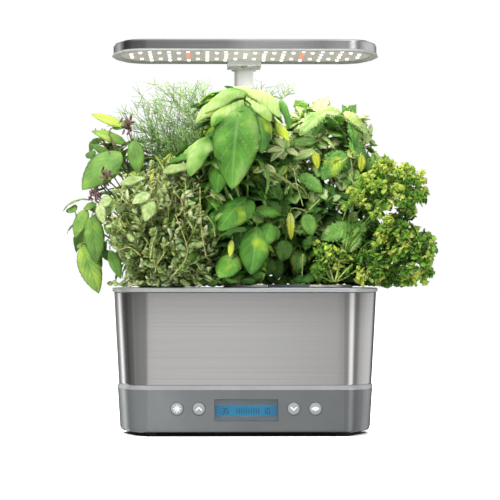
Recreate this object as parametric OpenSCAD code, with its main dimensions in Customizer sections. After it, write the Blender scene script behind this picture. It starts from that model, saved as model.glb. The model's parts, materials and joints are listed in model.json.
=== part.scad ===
// Countertop hydroponic garden: a base with a control panel, a water bowl in a steel wrap,
// a deck with six grow pods and their herbs, and an LED lamp on a telescoping post.
// Millimetres, +Z up. The origin is on the counter, in the middle of the whole garden.

/* [Plan outline] */
// Width of the bowl at its rim
body_w = 267; // [258:1:290]
// Depth of the bowl at its rim
body_d = 146; // [140:1:160]
// Radius of the corners at the rim
corner_r = 28; // [24:1:34]
// Radius of the bowed ends at the rim
end_r = 135; // [110:1:200]

/* [Base] */
// Height of the rubber feet under the base
foot_h = 4.3; // [3:0.1:7]
// Radius of a foot
foot_r = 6.2; // [5:0.1:8]
// Height of the base housing
base_h = 41.6; // [41:0.1:50]
// Wall of the base housing
base_wall = 2.4; // [2:0.1:3]
// How far the housing's top edge lies inside the rim outline
base_top_inset = 5.2; // [4:0.1:6]
// How far the housing's foot lies inside the rim outline
base_foot_inset = 7.7; // [7:0.1:9]
// Thickness of the bottom cover
cover_t = 2.4; // [2:0.1:3.5]
// Height of the silver trim ring on the housing
trim_h = 4.3; // [3.5:0.1:6]

/* [Control panel] */
// Radius of a push button
button_r = 6.15; // [5:0.05:6.5]
// Travel of a push button
button_travel = 0.8; // [0.4:0.1:1]
// Distance of the inner buttons from the middle
inner_button_x = 46.5; // [45:0.5:50]
// Distance of the outer buttons from the middle
outer_button_x = 67.8; // [66:0.1:72]
// Height of the buttons above the housing's foot
button_up = 23.2; // [20:0.1:25]
// Width of the display window
window_w = 62; // [50:1:64]
// Height of the display window
window_h = 21; // [17:0.5:22]
// Height of the window's middle above the housing's foot
window_up = 21.7; // [19:0.1:24]
// Thickness of the circuit board
board_t = 1.6; // [1:0.1:2]

/* [Power inlet] */
// Radius of the bore that takes the barrel plug
jack_bore_r = 2.8; // [2.5:0.05:3]
// Depth of that bore
jack_bore_l = 9.5; // [8:0.5:11]

/* [Bowl] */
// Height of the steel wrap
wrap_h = 91; // [80:1:110]
// Thickness of the wrap's sheet
wrap_t = 0.7; // [0.5:0.1:1]
// How far the wrap's foot lies inside the rim outline
wrap_foot_inset = 6.5; // [6:0.1:7]
// How far the wrap's top lies inside the rim outline
wrap_top_inset = 1.7; // [1.5:0.1:3]
// Wall of the plastic bowl
bowl_wall = 2.2; // [1.8:0.1:2.8]
// Height of the silver rim ring
rim_h = 4.3; // [4:0.1:6]

/* [Deck and fill port] */
// Thickness of the deck
deck_t = 2.4; // [2:0.1:3]
// Distance between the pod columns
pod_pitch_x = 84; // [78:1:88]
// Distance between the pod rows
pod_pitch_y = 64; // [60:1:66]
// Depth of the lid over the fill port
lid_d = 25; // [20:0.5:26]
// Thickness of that lid
lid_t = 1.6; // [1.2:0.1:2]

/* [Grow pods] */
// Radius of a basket's body at the deck
basket_r = 18.2; // [16:0.1:18.5]
// Length of a basket below the deck
basket_l = 54; // [40:1:60]
// Wall of a basket
basket_wall = 1.2; // [1:0.1:1.6]
// Radius of the hole in a pod's label
label_hole_r = 7.5; // [7:0.1:9]

/* [Pump and float] */
// Radius of the pump housing
pump_r = 19; // [17:0.5:20]
// Height of the pump housing
pump_h = 23; // [21:0.5:28]
// Radius of the impeller
impeller_r = 12.5; // [10:0.5:13]
// Radius of the ceramic pin that the impeller turns on
pin_r = 1.2; // [1:0.1:1.5]
// Outer radius of the riser tube
riser_r = 4; // [3.5:0.1:4.5]
// Radius of the float
float_r = 12; // [9:0.5:13]
// Rise of the float between an empty and a full bowl
float_travel = 36; // [20:1:40]

/* [Lamp] */
// Width of the lamp over its bezel
lamp_w = 268.5; // [255:0.5:285]
// Depth of the lamp over its bezel
lamp_d = 146; // [140:1:150]
// Height of the lamp above the deck
lamp_up = 231.5; // [230:0.5:240]
// Height of the bezel
bezel_h = 2.4; // [2:0.1:4]
// Height of the brushed shell above the bezel
shell_h = 9.6; // [8:0.1:14]
// Wall of the shell
shell_t = 1.4; // [1:0.1:2]
// Radius of an LED's lens
led_r = 1.9; // [1.5:0.1:2]
// How far the mount's plate reaches under the lamp
mount_reach = 31; // [28:0.5:34]

/* [Post] */
// Width of the upper post tube
upper_w = 19.4; // [16:0.1:21]
// Depth of the upper post tube
upper_d = 15; // [12:0.1:16]
// Wall of the lower post tube
lower_wall = 3; // [2:0.1:3.2]
// Gap between the two tubes
tube_gap = 0.3; // [0.2:0.05:0.4]
// How far the lower tube rises above the deck
lower_up = 86; // [70:1:100]
// How far the lamp can still be raised
lamp_rise = 60; // [30:1:65]

/* [Plants] */
// Half of the width that the foliage spreads over
foliage_half_w = 186; // [176:1:200]
// Height of the tallest frond above the deck
foliage_h = 206; // [180:1:207]

/* [Hidden] */
$fn = 48;
seat_gap = 0.3;   // clearance between pieces that are seated in each other
fit_gap = 0.05;   // radial running clearance on a pin

// Heights, from the counter up
base_z = foot_h;
base_top_z = base_z + base_h;
trim_top_z = base_top_z + trim_h;
wrap_z = trim_top_z + 0.2;
wrap_top_z = wrap_z + wrap_h;
rim_z = wrap_top_z + 0.2;
rim_top_z = rim_z + rim_h;
ledge_z = rim_top_z - deck_t + 0.2;   // the deck's top lies 0.2 above the rim
deck_z = ledge_z;
ledge_inset = 5;                      // the rim's ledge, which carries the deck
deck_top_z = deck_z + deck_t;
lamp_z = deck_top_z + lamp_up;        // the underside of the bezel
lower_top_z = deck_top_z + lower_up;
ceiling_z = base_top_z - 2.5;
bowl_floor_z = base_top_z + 2.5;

// Post
lower_w = upper_w + 2 * (tube_gap + lower_wall);
lower_d = upper_d + 2 * (tube_gap + lower_wall);
post_gap = 1;                              // between the bowl's rim and the post
post_y = body_d / 2 + post_gap + lower_d / 2;
socket_wall = 2.6;
socket_gap = 0.2;
socket_w = lower_w + 2 * (socket_gap + socket_wall);
socket_d = lower_d + 2 * (socket_gap + socket_wall);
socket_h = 16;                             // how far the socket rises over the housing
socket_floor_z = base_z + 9.7;
garden_half_d = post_y + socket_d / 2;     // the foliage reaches as far to the front

// Front panel
function housing_inset(z) =
  base_foot_inset + (base_top_inset - base_foot_inset) * (z - base_z - 2.4) / (base_h - 2.4);
function panel_y(z) = housing_inset(z) - body_d / 2;
button_z = base_z + button_up;
window_z = base_z + window_up;
button_xs = [-outer_button_x, -inner_button_x, inner_button_x, outer_button_x];
button_names = ["light_button", "up_button", "down_button", "feed_button"];
button_hole_r = button_r + 0.45;
button_flange_r = button_r + 1.1;
flange_y = panel_y(button_z - button_flange_r) + base_wall + 0.25;
pcb_y = flange_y + 6.6;
switch_h = 2;                              // with its plunger
switch_body = [6, 1.6, 6];
screw_head_h = 1.6;
screw_r = 1.3;
boss_screw_l = 14;
pilot_l = boss_screw_l + 4;                // depth of the hole that a screw bites in
stem_end_y = pcb_y - switch_h - button_travel - 0.05;

// Display stack, from the front
lens_t = 0.8;
frame_t = 0.8;
lens_y = panel_y(window_z - window_h / 2) + 0.25;
frame_y = lens_y + lens_t + 0.1;
lcd_y = frame_y + frame_t + 0.1;
lcd_h = 11;                                // lit part of the display
lcd_z = window_z - 0.5;

// Power inlet and pump motor
motor_r = 16;
motor_waist = 2;                           // how far the motor's middle is drawn in
motor_flange_t = 4;
jack_x = -52;
jack_z = base_z + 16;
jack_barrel_r = 4.6;
jack_face_y = -panel_y(jack_z) - 0.2;
jack_body = [10, 10, 11];
motor_z = base_z + 10;

// Pods, rear row first, then the front row, each from left to right
pod_xy = [for (row = [1, -1], column = [-1, 0, 1]) [column * pod_pitch_x, row * pod_pitch_y / 2]];
pod_hole_r = basket_r + 0.4;
collar_h = 0.8;
collar_r = pod_hole_r + 3.6;
flange_r = pod_hole_r + 2.8;
flange_t = 1.4;
label_t = 0.5;
pod_seat_z = deck_top_z + collar_h;
basket_foot_r = 12.5;
label_z = pod_seat_z + flange_t;
sponge_top_z = deck_top_z - 1;

// Fill port, between the middle and the right column
port_x = pod_pitch_x / 2;
hinge_y = 36.5 - body_d / 2;
hinge_r = 1.9;
hinge_pin_r = 0.9;
lid_recess = 1;
lid_z = deck_top_z - lid_recess + 0.05;
hinge_z = deck_top_z - lid_recess + hinge_r + 0.3;
lug_w = 2;
lid_w = pod_pitch_x - 2 * (flange_r + lug_w + 0.6);   // it fills the space between two pods

// Pump and float, between the columns
pump_x = -pod_pitch_x / 2;
float_x = pod_pitch_x / 2;
float_y = pod_pitch_y / 2 - 2;
float_h = 14;
float_post_r = 2.4;
float_seat_z = bowl_floor_z + 2;
riser_y = pump_r + 9;
rotor_z = bowl_floor_z + 4;

// Lamp
shell_z = lamp_z + bezel_h;
shell_inset = 1.7;
shell_top_z = shell_z + shell_h;
led_h = 1.8;
mount_w = 34.6;
mount_front_y = lamp_d / 2 - mount_reach;
mount_t = 3.8;
neck_h = 2;
min_overlap = 37;                          // of the two tubes with the lamp all the way up
screw_ys = [mount_front_y + 6, mount_front_y + 16];
upper_top_z = lamp_z - mount_t - neck_h;
upper_l = upper_top_z - (lower_top_z - lamp_rise - min_overlap);
led_pitch = lamp_w / 14.1;                 // between neighbouring LEDs in a row
led_rows = lamp_d * [0.322, 0.219, 0.1];   // distance of the rows from the lamp's middle
outer_row_xs = [for (k = [1:5]) max(k * led_pitch, mount_w / 2 + led_r + 0.6)];
inner_places = [for (y = [-led_rows[2], led_rows[2]], k = [-6:6]) [k * led_pitch, y, abs(k)]];
coloured = [3, 4];                         // places, counted from the middle of an inner row

// ---- Outline and skins ------------------------------------------------------------------------

// One quarter of the plan outline, moved inwards by inset: a bowed end, then a corner.
function quarter(inset, w, d) =
  let (end_x = w / 2 - end_r,
       corner_y = d / 2 - corner_r,
       corner_x = end_x + sqrt(pow(end_r - corner_r, 2) - corner_y * corner_y),
       joint = atan2(corner_y, corner_x - end_x),
       steps = 8)
  concat([for (a = [0, joint / 2]) [end_x, 0] + (end_r - inset) * [cos(a), sin(a)]],
         [for (i = [0:steps]) let (a = joint + (90 - joint) * i / steps)
            [corner_x, corner_y] + (corner_r - inset) * [cos(a), sin(a)]]);

// The whole outline, anticlockwise seen from above.
function plan(inset = 0, w = body_w, d = body_d) =
  let (q = quarter(inset, w, d), last = len(q) - 1)
  concat(q,
         [for (i = [last:-1:0]) [-q[i].x, q[i].y]],
         [for (i = [1:last]) [-q[i].x, -q[i].y]],
         [for (i = [last:-1:1]) [q[i].x, -q[i].y]]);

// The outline at each [inset, z] of a profile.
function rings(profile, w = body_w, d = body_d) =
  [for (p = profile) [for (q = plan(p[0], w, d)) [q.x, q.y, p[1]]]];

// Triangles between ring a and ring b of n points each.
function strip(a, b, n) =
  [for (i = [0:n - 1], half = [0, 1]) let (j = (i + 1) % n)
     half == 0 ? [a * n + i, b * n + i, b * n + j] : [a * n + i, b * n + j, a * n + j]];

// A closed solid through a row of rings, with flat ends.
module skin(row) {
  n = len(row[0]);
  m = len(row);
  polyhedron(points = [for (r = row) each r],
             faces = concat([[for (i = [0:n - 1]) i]],
                            [for (k = [0:m - 2]) each strip(k, k + 1, n)],
                            [[for (i = [n - 1:-1:0]) (m - 1) * n + i]]),
             convexity = 8);
}

// A closed band that follows the outline, with the section that the profile draws.
module band(profile, w = body_w, d = body_d) {
  row = rings(profile, w, d);
  n = len(row[0]);
  m = len(row);
  polyhedron(points = [for (r = row) each r],
             faces = [for (k = [0:m - 1]) each strip(k, (k + 1) % m, n)],
             convexity = 8);
}

module plate(inset, z, t, w = body_w, d = body_d) {
  translate([0, 0, z]) linear_extrude(t) polygon(plan(inset, w, d));
}

module rounded_rect(w, d, r) {
  square([w - 2 * r, d], center = true);
  square([w, d - 2 * r], center = true);
  for (x = [-1, 1], y = [-1, 1]) translate([x * (w / 2 - r), y * (d / 2 - r)]) circle(r);
}

module bar(w, d, r, h) {
  linear_extrude(h) rounded_rect(w, d, r);
}

// A cylinder that points along +Y from its base.
module rod_y(r, l) {
  rotate([-90, 0, 0]) cylinder(r = r, h = l);
}

// ---- Base -------------------------------------------------------------------------------------

boss_xy = [for (x = [-1, 1], y = [-1, 1]) [x * (body_w / 2 - 30), y * (body_d / 2 - 32)]];
foot_xy = [for (x = [-1, 1], y = [-1, 1]) [x * (body_w / 2 - 38.5), y * (body_d / 2 - 22)]];
pcb_post_x = outer_button_x + 12;
pcb_zs = [button_z - 9, button_z + 9];

module socket_block() {
  block_top_z = base_top_z + socket_h;
  translate([0, post_y, base_z]) bar(socket_w, socket_d, 5, block_top_z - base_z);
  bridge_y = body_d / 2 - base_foot_inset - base_wall + 0.1;
  translate([-socket_w / 2 + 3, bridge_y, base_z + 1])
    cube([socket_w - 6, post_y - bridge_y, base_h - 1]);
}

module base_housing() {
  color("#7d8183") difference() {
    union() {
      skin(rings([[base_top_inset + base_wall, ceiling_z],
                  [base_foot_inset + base_wall, base_z],
                  [base_foot_inset + 1.6, base_z],
                  [base_foot_inset + 0.5, base_z + 0.8],
                  [base_foot_inset, base_z + 2.4],
                  [base_top_inset, base_top_z]]));
      socket_block();
      for (p = boss_xy) translate([p.x, p.y, base_z + cover_t])
        cylinder(r = 4, h = ceiling_z - base_z - cover_t + 1);
      for (x = [-1, 1], z = pcb_zs)
        translate([x * pcb_post_x, panel_y(z) + 1, z]) rod_y(2.4, pcb_y - panel_y(z) - 1);
    }
    for (x = button_xs) translate([x, -body_d / 2, button_z]) rod_y(button_hole_r, 12);
    translate([0, -body_d / 2 + 10, window_z]) rotate([90, 0, 0])
      translate([0, 0, -2]) bar(window_w + 0.4, window_h + 0.4, 0.6, 20);
    translate([jack_x, body_d / 2 - 14, jack_z]) rod_y(jack_barrel_r + 0.2, 14);
    translate([0, post_y, socket_floor_z])
      bar(lower_w + 2 * socket_gap, lower_d + 2 * socket_gap, 4 + socket_gap, base_h + socket_h);
    for (p = boss_xy) translate([p.x, p.y, base_z]) cylinder(r = screw_r, h = pilot_l);
  }
}

module base_cover() {
  vent = [2.4, 22, cover_t + 2];
  color("#4a4d4f") {
    difference() {
      union() {
        plate(base_foot_inset + base_wall + 0.2, base_z, cover_t);
        translate([pump_x, 0, base_z + cover_t])
          cylinder(r = motor_r - 7, h = motor_z - base_z - cover_t);
        translate([jack_x - jack_body.x / 2, jack_face_y - 3 - jack_body.y, base_z + cover_t])
          cube([jack_body.x, jack_body.y, jack_z - jack_body.z / 2 - base_z - cover_t]);
      }
      for (p = boss_xy) translate([p.x, p.y, base_z - 1]) cylinder(r = 1.9, h = cover_t + 2);
      for (i = [-4:4]) translate([float_x + i * 6 - 1.2, -11, base_z - 1]) cube(vent);
    }
  }
}

module base_trim() {
  color("#b9bbbd") band([[base_top_inset - 0.3, base_top_z],
                         [base_top_inset - 0.3, base_top_z + 1],
                         [wrap_foot_inset - 0.3, trim_top_z],
                         [base_top_inset + 3.8, trim_top_z],
                         [base_top_inset + 3.8, base_top_z]]);
}

module feet() {
  color("#2b2c2e") for (p = foot_xy) translate([p.x, p.y, 0]) {
    cylinder(r1 = foot_r - 0.6, r2 = foot_r, h = 1);
    translate([0, 0, 1]) cylinder(r = foot_r, h = foot_h - 1);
  }
}

module pan_screw(head_r, shank_r, l) {
  difference() {
    cylinder(r = head_r, h = screw_head_h);
    for (a = [0, 90]) rotate(a) translate([-head_r * 0.6, -0.4, -1]) cube([head_r * 1.2, 0.8, 1.7]);
  }
  translate([0, 0, screw_head_h]) cylinder(r = shank_r, h = l);
}

module base_screws() {
  color("#6d7073") for (p = boss_xy) translate([p.x, p.y, base_z - screw_head_h])
    pan_screw(3, screw_r, boss_screw_l);
}

// ---- Control panel ----------------------------------------------------------------------------

module display_lens() {
  color("#cfe3ea", 0.4) translate([0, lens_y, window_z]) rotate([-90, 0, 0])
    bar(window_w, window_h, 0.8, lens_t);
}

module display_frame() {
  color("#8b9093") translate([-window_w / 2, frame_y, window_z - window_h / 2])
    difference() {
      cube([window_w, frame_t, window_h]);
      translate([0.8, -1, window_h / 2 - lcd_h / 2 + lcd_z - window_z])
        cube([window_w - 1.6, frame_t + 2, lcd_h]);
    }
}

module lcd_panel() {
  color("#3e93bd") translate([-window_w / 2, lcd_y, window_z - window_h / 2])
    cube([window_w, pcb_y - lcd_y, window_h]);
}

module control_board() {
  pcb_top_z = ceiling_z - 1.5;
  pcb_foot_z = base_z + cover_t + 3;
  half_w = pcb_post_x + 5;
  color("#2f6b45") translate([-half_w, pcb_y, pcb_foot_z])
    cube([2 * half_w, board_t, pcb_top_z - pcb_foot_z]);
  color("#26282a") for (x = [-30, 0, 34])
    translate([x, pcb_y + board_t, button_z - 5]) cube([12, 2.2, 9]);
}

module tact_switches() {
  color("#3a3c3f") for (x = button_xs) {
    translate([x - switch_body.x / 2, pcb_y - switch_body.y, button_z - switch_body.z / 2])
      cube(switch_body);
    translate([x, pcb_y - switch_h, button_z]) rod_y(1.2, switch_h - switch_body.y);
  }
}

// A cap with a rounded face, a flange behind the panel and a stem that presses the switch.
module button(x) {
  face_y = panel_y(button_z) - 1.2;
  color("#c3c6c8") translate([x, 0, button_z]) {
    translate([0, face_y, 0]) rotate([-90, 0, 0]) rotate_extrude()
      polygon([[0, 0], [button_r - 1.2, 0], [button_r - 0.35, 0.35], [button_r, 1.2],
               [button_r, flange_y - face_y], [button_flange_r, flange_y - face_y],
               [button_flange_r, flange_y - face_y + 1.2], [1.5, flange_y - face_y + 1.2],
               [1.5, stem_end_y - face_y], [0, stem_end_y - face_y]]);
  }
}

module power_jack() {
  color("#1d1e20") translate([jack_x, jack_face_y, jack_z]) difference() {
    union() {
      translate([-jack_body.x / 2, -3 - jack_body.y, -jack_body.z / 2]) cube(jack_body);
      translate([0, -3, 0]) rod_y(jack_barrel_r, 3);
    }
    translate([0, -jack_bore_l, 0]) rod_y(jack_bore_r, jack_bore_l + 1);
  }
}

module pump_motor() {
  motor_h = ceiling_z - motor_z - 0.3;
  color("#8a6a3a") translate([pump_x, 0, motor_z]) rotate_extrude()
    polygon([[0, 0], [motor_r, 0], [motor_r, motor_flange_t],
             [motor_r - motor_waist, motor_flange_t],
             [motor_r - motor_waist, motor_h - motor_flange_t],
             [motor_r, motor_h - motor_flange_t], [motor_r, motor_h], [0, motor_h]]);
}

// ---- Bowl -------------------------------------------------------------------------------------

module water_bowl() {
  foot_inset = base_top_inset + 4.2;
  side_foot = wrap_foot_inset + wrap_t + 0.2;
  side_top = wrap_top_inset + wrap_t + 0.2;
  color("#5b5f62") {
    difference() {
      union() {
        skin(rings([[foot_inset + 1.2, base_top_z],
                    [foot_inset, base_top_z + 1.2],
                    [foot_inset, wrap_z],
                    [side_foot, wrap_z + 2.4],
                    [side_top, wrap_top_z],
                    [side_top + bowl_wall, wrap_top_z],
                    [foot_inset + bowl_wall, wrap_z + 2.6],
                    [foot_inset + bowl_wall + 2, bowl_floor_z + 1],
                    [foot_inset + bowl_wall + 4.5, bowl_floor_z]]));
        translate([float_x, float_y, bowl_floor_z - 1]) cylinder(r = 6, h = float_seat_z - bowl_floor_z + 1);
        translate([pump_x, 0, bowl_floor_z - 1]) difference() {
          cylinder(r = pump_r + 3, h = 3);
          translate([0, 0, 1]) cylinder(r = pump_r + seat_gap, h = 3);
        }
      }
      translate([float_x, float_y, bowl_floor_z]) cylinder(r = float_post_r, h = 4);
    }
  }
}

module steel_wrap() {
  color("#b4b4b0") band([[wrap_foot_inset, wrap_z], [wrap_top_inset, wrap_top_z],
                         [wrap_top_inset + wrap_t, wrap_top_z], [wrap_foot_inset + wrap_t, wrap_z]]);
}

module bowl_rim() {
  color("#c4c5c6") band([[0.35, rim_z], [0, rim_z + 0.5], [0, rim_top_z - 0.8],
                         [0.7, rim_top_z], [ledge_inset, rim_top_z], [ledge_inset, ledge_z],
                         [ledge_inset + 3.4, ledge_z], [ledge_inset + 3.4, rim_z]]);
}

// ---- Pump and float ---------------------------------------------------------------------------

module pump_housing() {
  socket_r = riser_r + 1.6;
  floor_t = 2;
  outlet_z = bowl_floor_z + 12;
  color("#2e3134") translate([pump_x, 0, 0]) difference() {
    union() {
      translate([0, 0, bowl_floor_z]) cylinder(r = pump_r, h = pump_h);
      translate([0, pump_r - 4, outlet_z]) rod_y(3.6, riser_y - pump_r + 4);
      translate([0, riser_y, outlet_z - 4.6]) cylinder(r = socket_r, h = 17);
    }
    translate([0, 0, bowl_floor_z + floor_t]) cylinder(r = pump_r - 2, h = pump_h);
    translate([0, pump_r - 5, outlet_z]) rod_y(2.2, riser_y - pump_r + 5);
    translate([0, riser_y, outlet_z - 2]) cylinder(r = riser_r + fit_gap, h = 20);
    translate([0, 0, bowl_floor_z - 1]) cylinder(r = pin_r, h = floor_t + 2);
  }
}

module pump_cover() {
  color("#3a3d40") translate([pump_x, 0, bowl_floor_z + pump_h]) difference() {
    cylinder(r = pump_r, h = 2);
    for (a = [0:30:330]) rotate(a) translate([6, -1, -1]) cube([pump_r - 9, 2, 4]);
    translate([0, 0, -1]) cylinder(r = pin_r, h = 4);
  }
}

module pump_filter() {
  filter_foot_z = bowl_floor_z + 2.2;
  color("#1f2123") translate([pump_x, 0, filter_foot_z]) difference() {
    cylinder(r = pump_r + 5, h = pump_h - 4);
    translate([0, 0, -1]) cylinder(r = pump_r + seat_gap, h = pump_h);
    translate([-riser_r - 2.4, 0, -1]) cube([2 * riser_r + 4.8, pump_r + 10, pump_h]);
  }
}

module impeller() {
  blade_h = 6;
  rotor_h = 3;
  hub_h = pump_h - (rotor_z - bowl_floor_z) - 1;
  color("#d9dde0") translate([pump_x, 0, rotor_z]) difference() {
    union() {
      cylinder(r = impeller_r, h = rotor_h);
      cylinder(r = 3.4, h = hub_h);
      for (a = [0:60:300]) rotate(a) translate([2.6, -0.6, rotor_h])
        cube([impeller_r - 3.6, 1.2, blade_h]);
    }
    translate([0, 0, -1]) cylinder(r = pin_r + fit_gap, h = pump_h + 4);
  }
}

module impeller_pin() {
  color("#f2f2ee") translate([pump_x, 0, bowl_floor_z + 0.2]) cylinder(r = pin_r, h = pump_h + 1.6);
}

module riser_tube() {
  riser_foot_z = bowl_floor_z + 10.2;
  color("#d7dde0") translate([pump_x, riser_y, riser_foot_z]) difference() {
    cylinder(r = riser_r, h = deck_z - riser_foot_z);
    translate([0, 0, -1]) cylinder(r = riser_r - 1, h = deck_z);
  }
}

module float_guide() {
  post_h = float_seat_z - bowl_floor_z + float_h + float_travel + 2;
  color("#e4e6e7") translate([float_x, float_y, bowl_floor_z]) {
    cylinder(r = float_post_r, h = post_h);
    translate([0, 0, post_h]) cylinder(r = float_post_r + 2, h = 2);
  }
}

module level_float() {
  color("#eceded") translate([float_x, float_y, float_seat_z]) difference() {
    rotate_extrude() polygon([[0, 0], [float_r - 1.5, 0], [float_r, 1.5], [float_r, float_h - 1.5],
                              [float_r - 1.5, float_h], [0, float_h]]);
    translate([0, 0, -1]) cylinder(r = float_post_r + 0.4, h = float_h + 2);
  }
}

// ---- Deck and fill port -----------------------------------------------------------------------

module grow_deck() {
  port = [lid_w - 8, lid_d - 8];
  port_mid = [port_x, hinge_y - hinge_r - lid_d / 2 + 1.9];
  color("#6f7376") difference() {
    union() {
      plate(ledge_inset + 0.3, deck_z, deck_t);
      for (p = pod_xy) translate([p.x, p.y, deck_z]) {
        cylinder(r = collar_r, h = deck_t + collar_h);
        translate([0, 0, -5]) cylinder(r = pod_hole_r + 1.6, h = 6);
      }
      for (x = [-1, 1]) translate([port_x + x * (lid_w / 2 + lug_w / 2 + 0.3), hinge_y, hinge_z])
        lug();
      translate([port_x, port_mid.y, deck_z - 5]) bar(port.x + 3.2, port.y + 3.2, 4.6, 6);
    }
    for (p = pod_xy) translate([p.x, p.y, deck_z - 6]) cylinder(r = pod_hole_r, h = 20);
    translate([port_x, port_mid.y, deck_z - 6]) bar(port.x, port.y, 3, 20);
    translate([port_x - lid_w / 2 - 0.3, port_mid.y - lid_d / 2 - 0.6, deck_top_z - lid_recess])
      cube([lid_w + 0.6, lid_d + 2.5, 5]);
    translate([port_x - 6, port_mid.y - lid_d / 2 - 4, deck_top_z - lid_recess])
      cube([12, 5, 5]);
  }
}

// A hinge ear of the fill port, with the hole that holds the pin.
module lug() {
  rotate([0, 90, 0]) translate([0, 0, -lug_w / 2]) difference() {
    union() {
      cylinder(r = hinge_r, h = lug_w);
      translate([0, -hinge_r, 0]) cube([hinge_z - deck_z - 1, 2 * hinge_r, lug_w]);
    }
    translate([0, 0, -1]) cylinder(r = hinge_pin_r, h = lug_w + 2);
  }
}

module fill_lid() {
  color("#8a8e91") difference() {
    union() {
      translate([port_x - lid_w / 2, hinge_y - lid_d, lid_z]) cube([lid_w, lid_d, lid_t]);
      translate([port_x - 5, hinge_y - lid_d - 1.6, lid_z]) cube([10, 3, lid_t]);
      translate([port_x - lid_w / 2, hinge_y, hinge_z]) rotate([0, 90, 0])
        cylinder(r = hinge_r, h = lid_w);
    }
    translate([port_x - lid_w / 2 - 1, hinge_y, hinge_z]) rotate([0, 90, 0])
      cylinder(r = hinge_pin_r + fit_gap, h = lid_w + 2);
  }
}

module fill_lid_pin() {
  pin_l = lid_w + 2 * lug_w + 0.6;
  color("#b9bcbe") translate([port_x - pin_l / 2, hinge_y, hinge_z]) rotate([0, 90, 0])
    cylinder(r = hinge_pin_r, h = pin_l);
}

// ---- Grow pods --------------------------------------------------------------------------------

module pod_basket(i) {
  foot_z = deck_z - basket_l;
  body_h = pod_seat_z - foot_z;
  color("#f1f2ee") translate([pod_xy[i].x, pod_xy[i].y, foot_z]) difference() {
    union() {
      cylinder(r1 = basket_foot_r, r2 = basket_r, h = body_h);
      translate([0, 0, body_h]) cylinder(r = flange_r, h = flange_t);
    }
    translate([0, 0, basket_wall])
      cylinder(r1 = basket_foot_r - basket_wall, r2 = basket_r - basket_wall, h = body_h + flange_t);
    for (a = [0:60:300]) rotate(a) translate([basket_foot_r - 5, -1.6, 6]) cube([12, 3.2, body_h * 0.5]);
  }
}

module pod_label(i) {
  color("#f6f4e4") translate([pod_xy[i].x, pod_xy[i].y, label_z]) difference() {
    cylinder(r = flange_r - 1, h = label_t);
    translate([0, 0, -1]) cylinder(r = label_hole_r, h = 3);
  }
}

module grow_sponges() {
  foot_z = deck_z - basket_l + basket_wall;
  color("#4b3a26") for (p = pod_xy) translate([p.x, p.y, foot_z])
    cylinder(r1 = basket_foot_r - basket_wall - 0.4, r2 = basket_r - basket_wall - 0.8,
             h = sponge_top_z - foot_z);
}

// ---- Herbs ------------------------------------------------------------------------------------

foliage_gap = 0.8;      // air between two herbs
squareness = 2.8;       // 2 is an egg, more is a fuller bush
herb_clear_z = deck_top_z + 4;
lid_clear_z = hinge_z + lid_d + 8;

// Each herb: [lean from its pod and rise above the deck, half sizes, lumps], with each lump as
// [azimuth, elevation, how far it stands out or, below zero, dips in, spread in degrees].
herbs = [
  [[-46, -6, 88], [34, 38, 78], [[180, -28, 23, 24], [150, 65, 8, 24], [235, -72, 14, 22]]],
  [[-60, 2, 154], [60, 34, 46], [[150, 20, 8, 24], [60, 62, 10, 24], [10, 30, 22, 20]]],
  [[-6, -6, 94], [60, 44, 80], [[75, 55, 8, 24], [0, 10, 8, 24], [250, -72, 16, 26]]],
  [[3, -14, 54], [53, 48, 50], [[195, 42, 12, 28], [290, -10, 8, 26], [10, -25, 14, 24],
                                [205, -35, -7, 26]]],
  [[-17, -8, 110], [43, 50, 82], [[110, 55, 12, 24], [185, 5, 8, 24], [270, -80, 34, 26],
                                  [20, 50, 18, 24], [308, 5, -9, 26]]],
  [[62, -2, 65], [42, 46, 58], [[350, -30, 10, 24], [20, 45, 6, 24], [270, -50, 8, 24]]]];

function herb_mid(i) = [pod_xy[i].x, pod_xy[i].y, deck_top_z] + herbs[i][0];

// Where a herb makes room for the lid over the fill port: [normal, reach]. It stays behind one
// of its two planes, above the open lid or beside it.
above_lid = [[0, 0, -1], -lid_clear_z];
left_of_lid = [[1, 0, 0], port_x - lid_w / 2 - 7];
right_of_lid = [[-1, 0, 0], -(port_x + lid_w / 2 + 4)];
behind_lid = [[0, -1, 0], -(hinge_y + 9)];
lid_walls = [[left_of_lid, left_of_lid], [above_lid, left_of_lid],
             [above_lid, behind_lid], [left_of_lid, left_of_lid],
             [above_lid, left_of_lid], [right_of_lid, right_of_lid]];

function herb_size(i) = (herbs[i][1].x + herbs[i][1].y + herbs[i][1].z) / 3;

// Planes that hold a herb off its neighbours, the lamp, the deck and the post: [normal, reach].
function herb_walls(i) =
  let (c = herb_mid(i))
  concat([for (j = [0:len(herbs) - 1]) if (j != i)
            let (between = herb_mid(j) - c,
                 n = between / norm(between),
                 share = herb_size(i) / (herb_size(i) + herb_size(j)))
            [n, n * (c + share * between) - foliage_gap / 2]],
         [[[1, 0, 0], foliage_half_w], [[-1, 0, 0], foliage_half_w],
          [[0, 1, 0], body_d / 2 - 1.5], [[0, -1, 0], garden_half_d],
          [[0, 0, 1], deck_top_z + foliage_h], [[0, 0, -1], -herb_clear_z]]);

function direction(azimuth, elevation) =
  [cos(azimuth) * cos(elevation), sin(azimuth) * cos(elevation), sin(elevation)];

// Distance from a herb's middle to a wall along u.
function wall_reach(i, u, wall) =
  let (towards = wall[0] * u)
  towards > 0.01 ? (wall[1] - wall[0] * herb_mid(i)) / towards : 1000;

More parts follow.
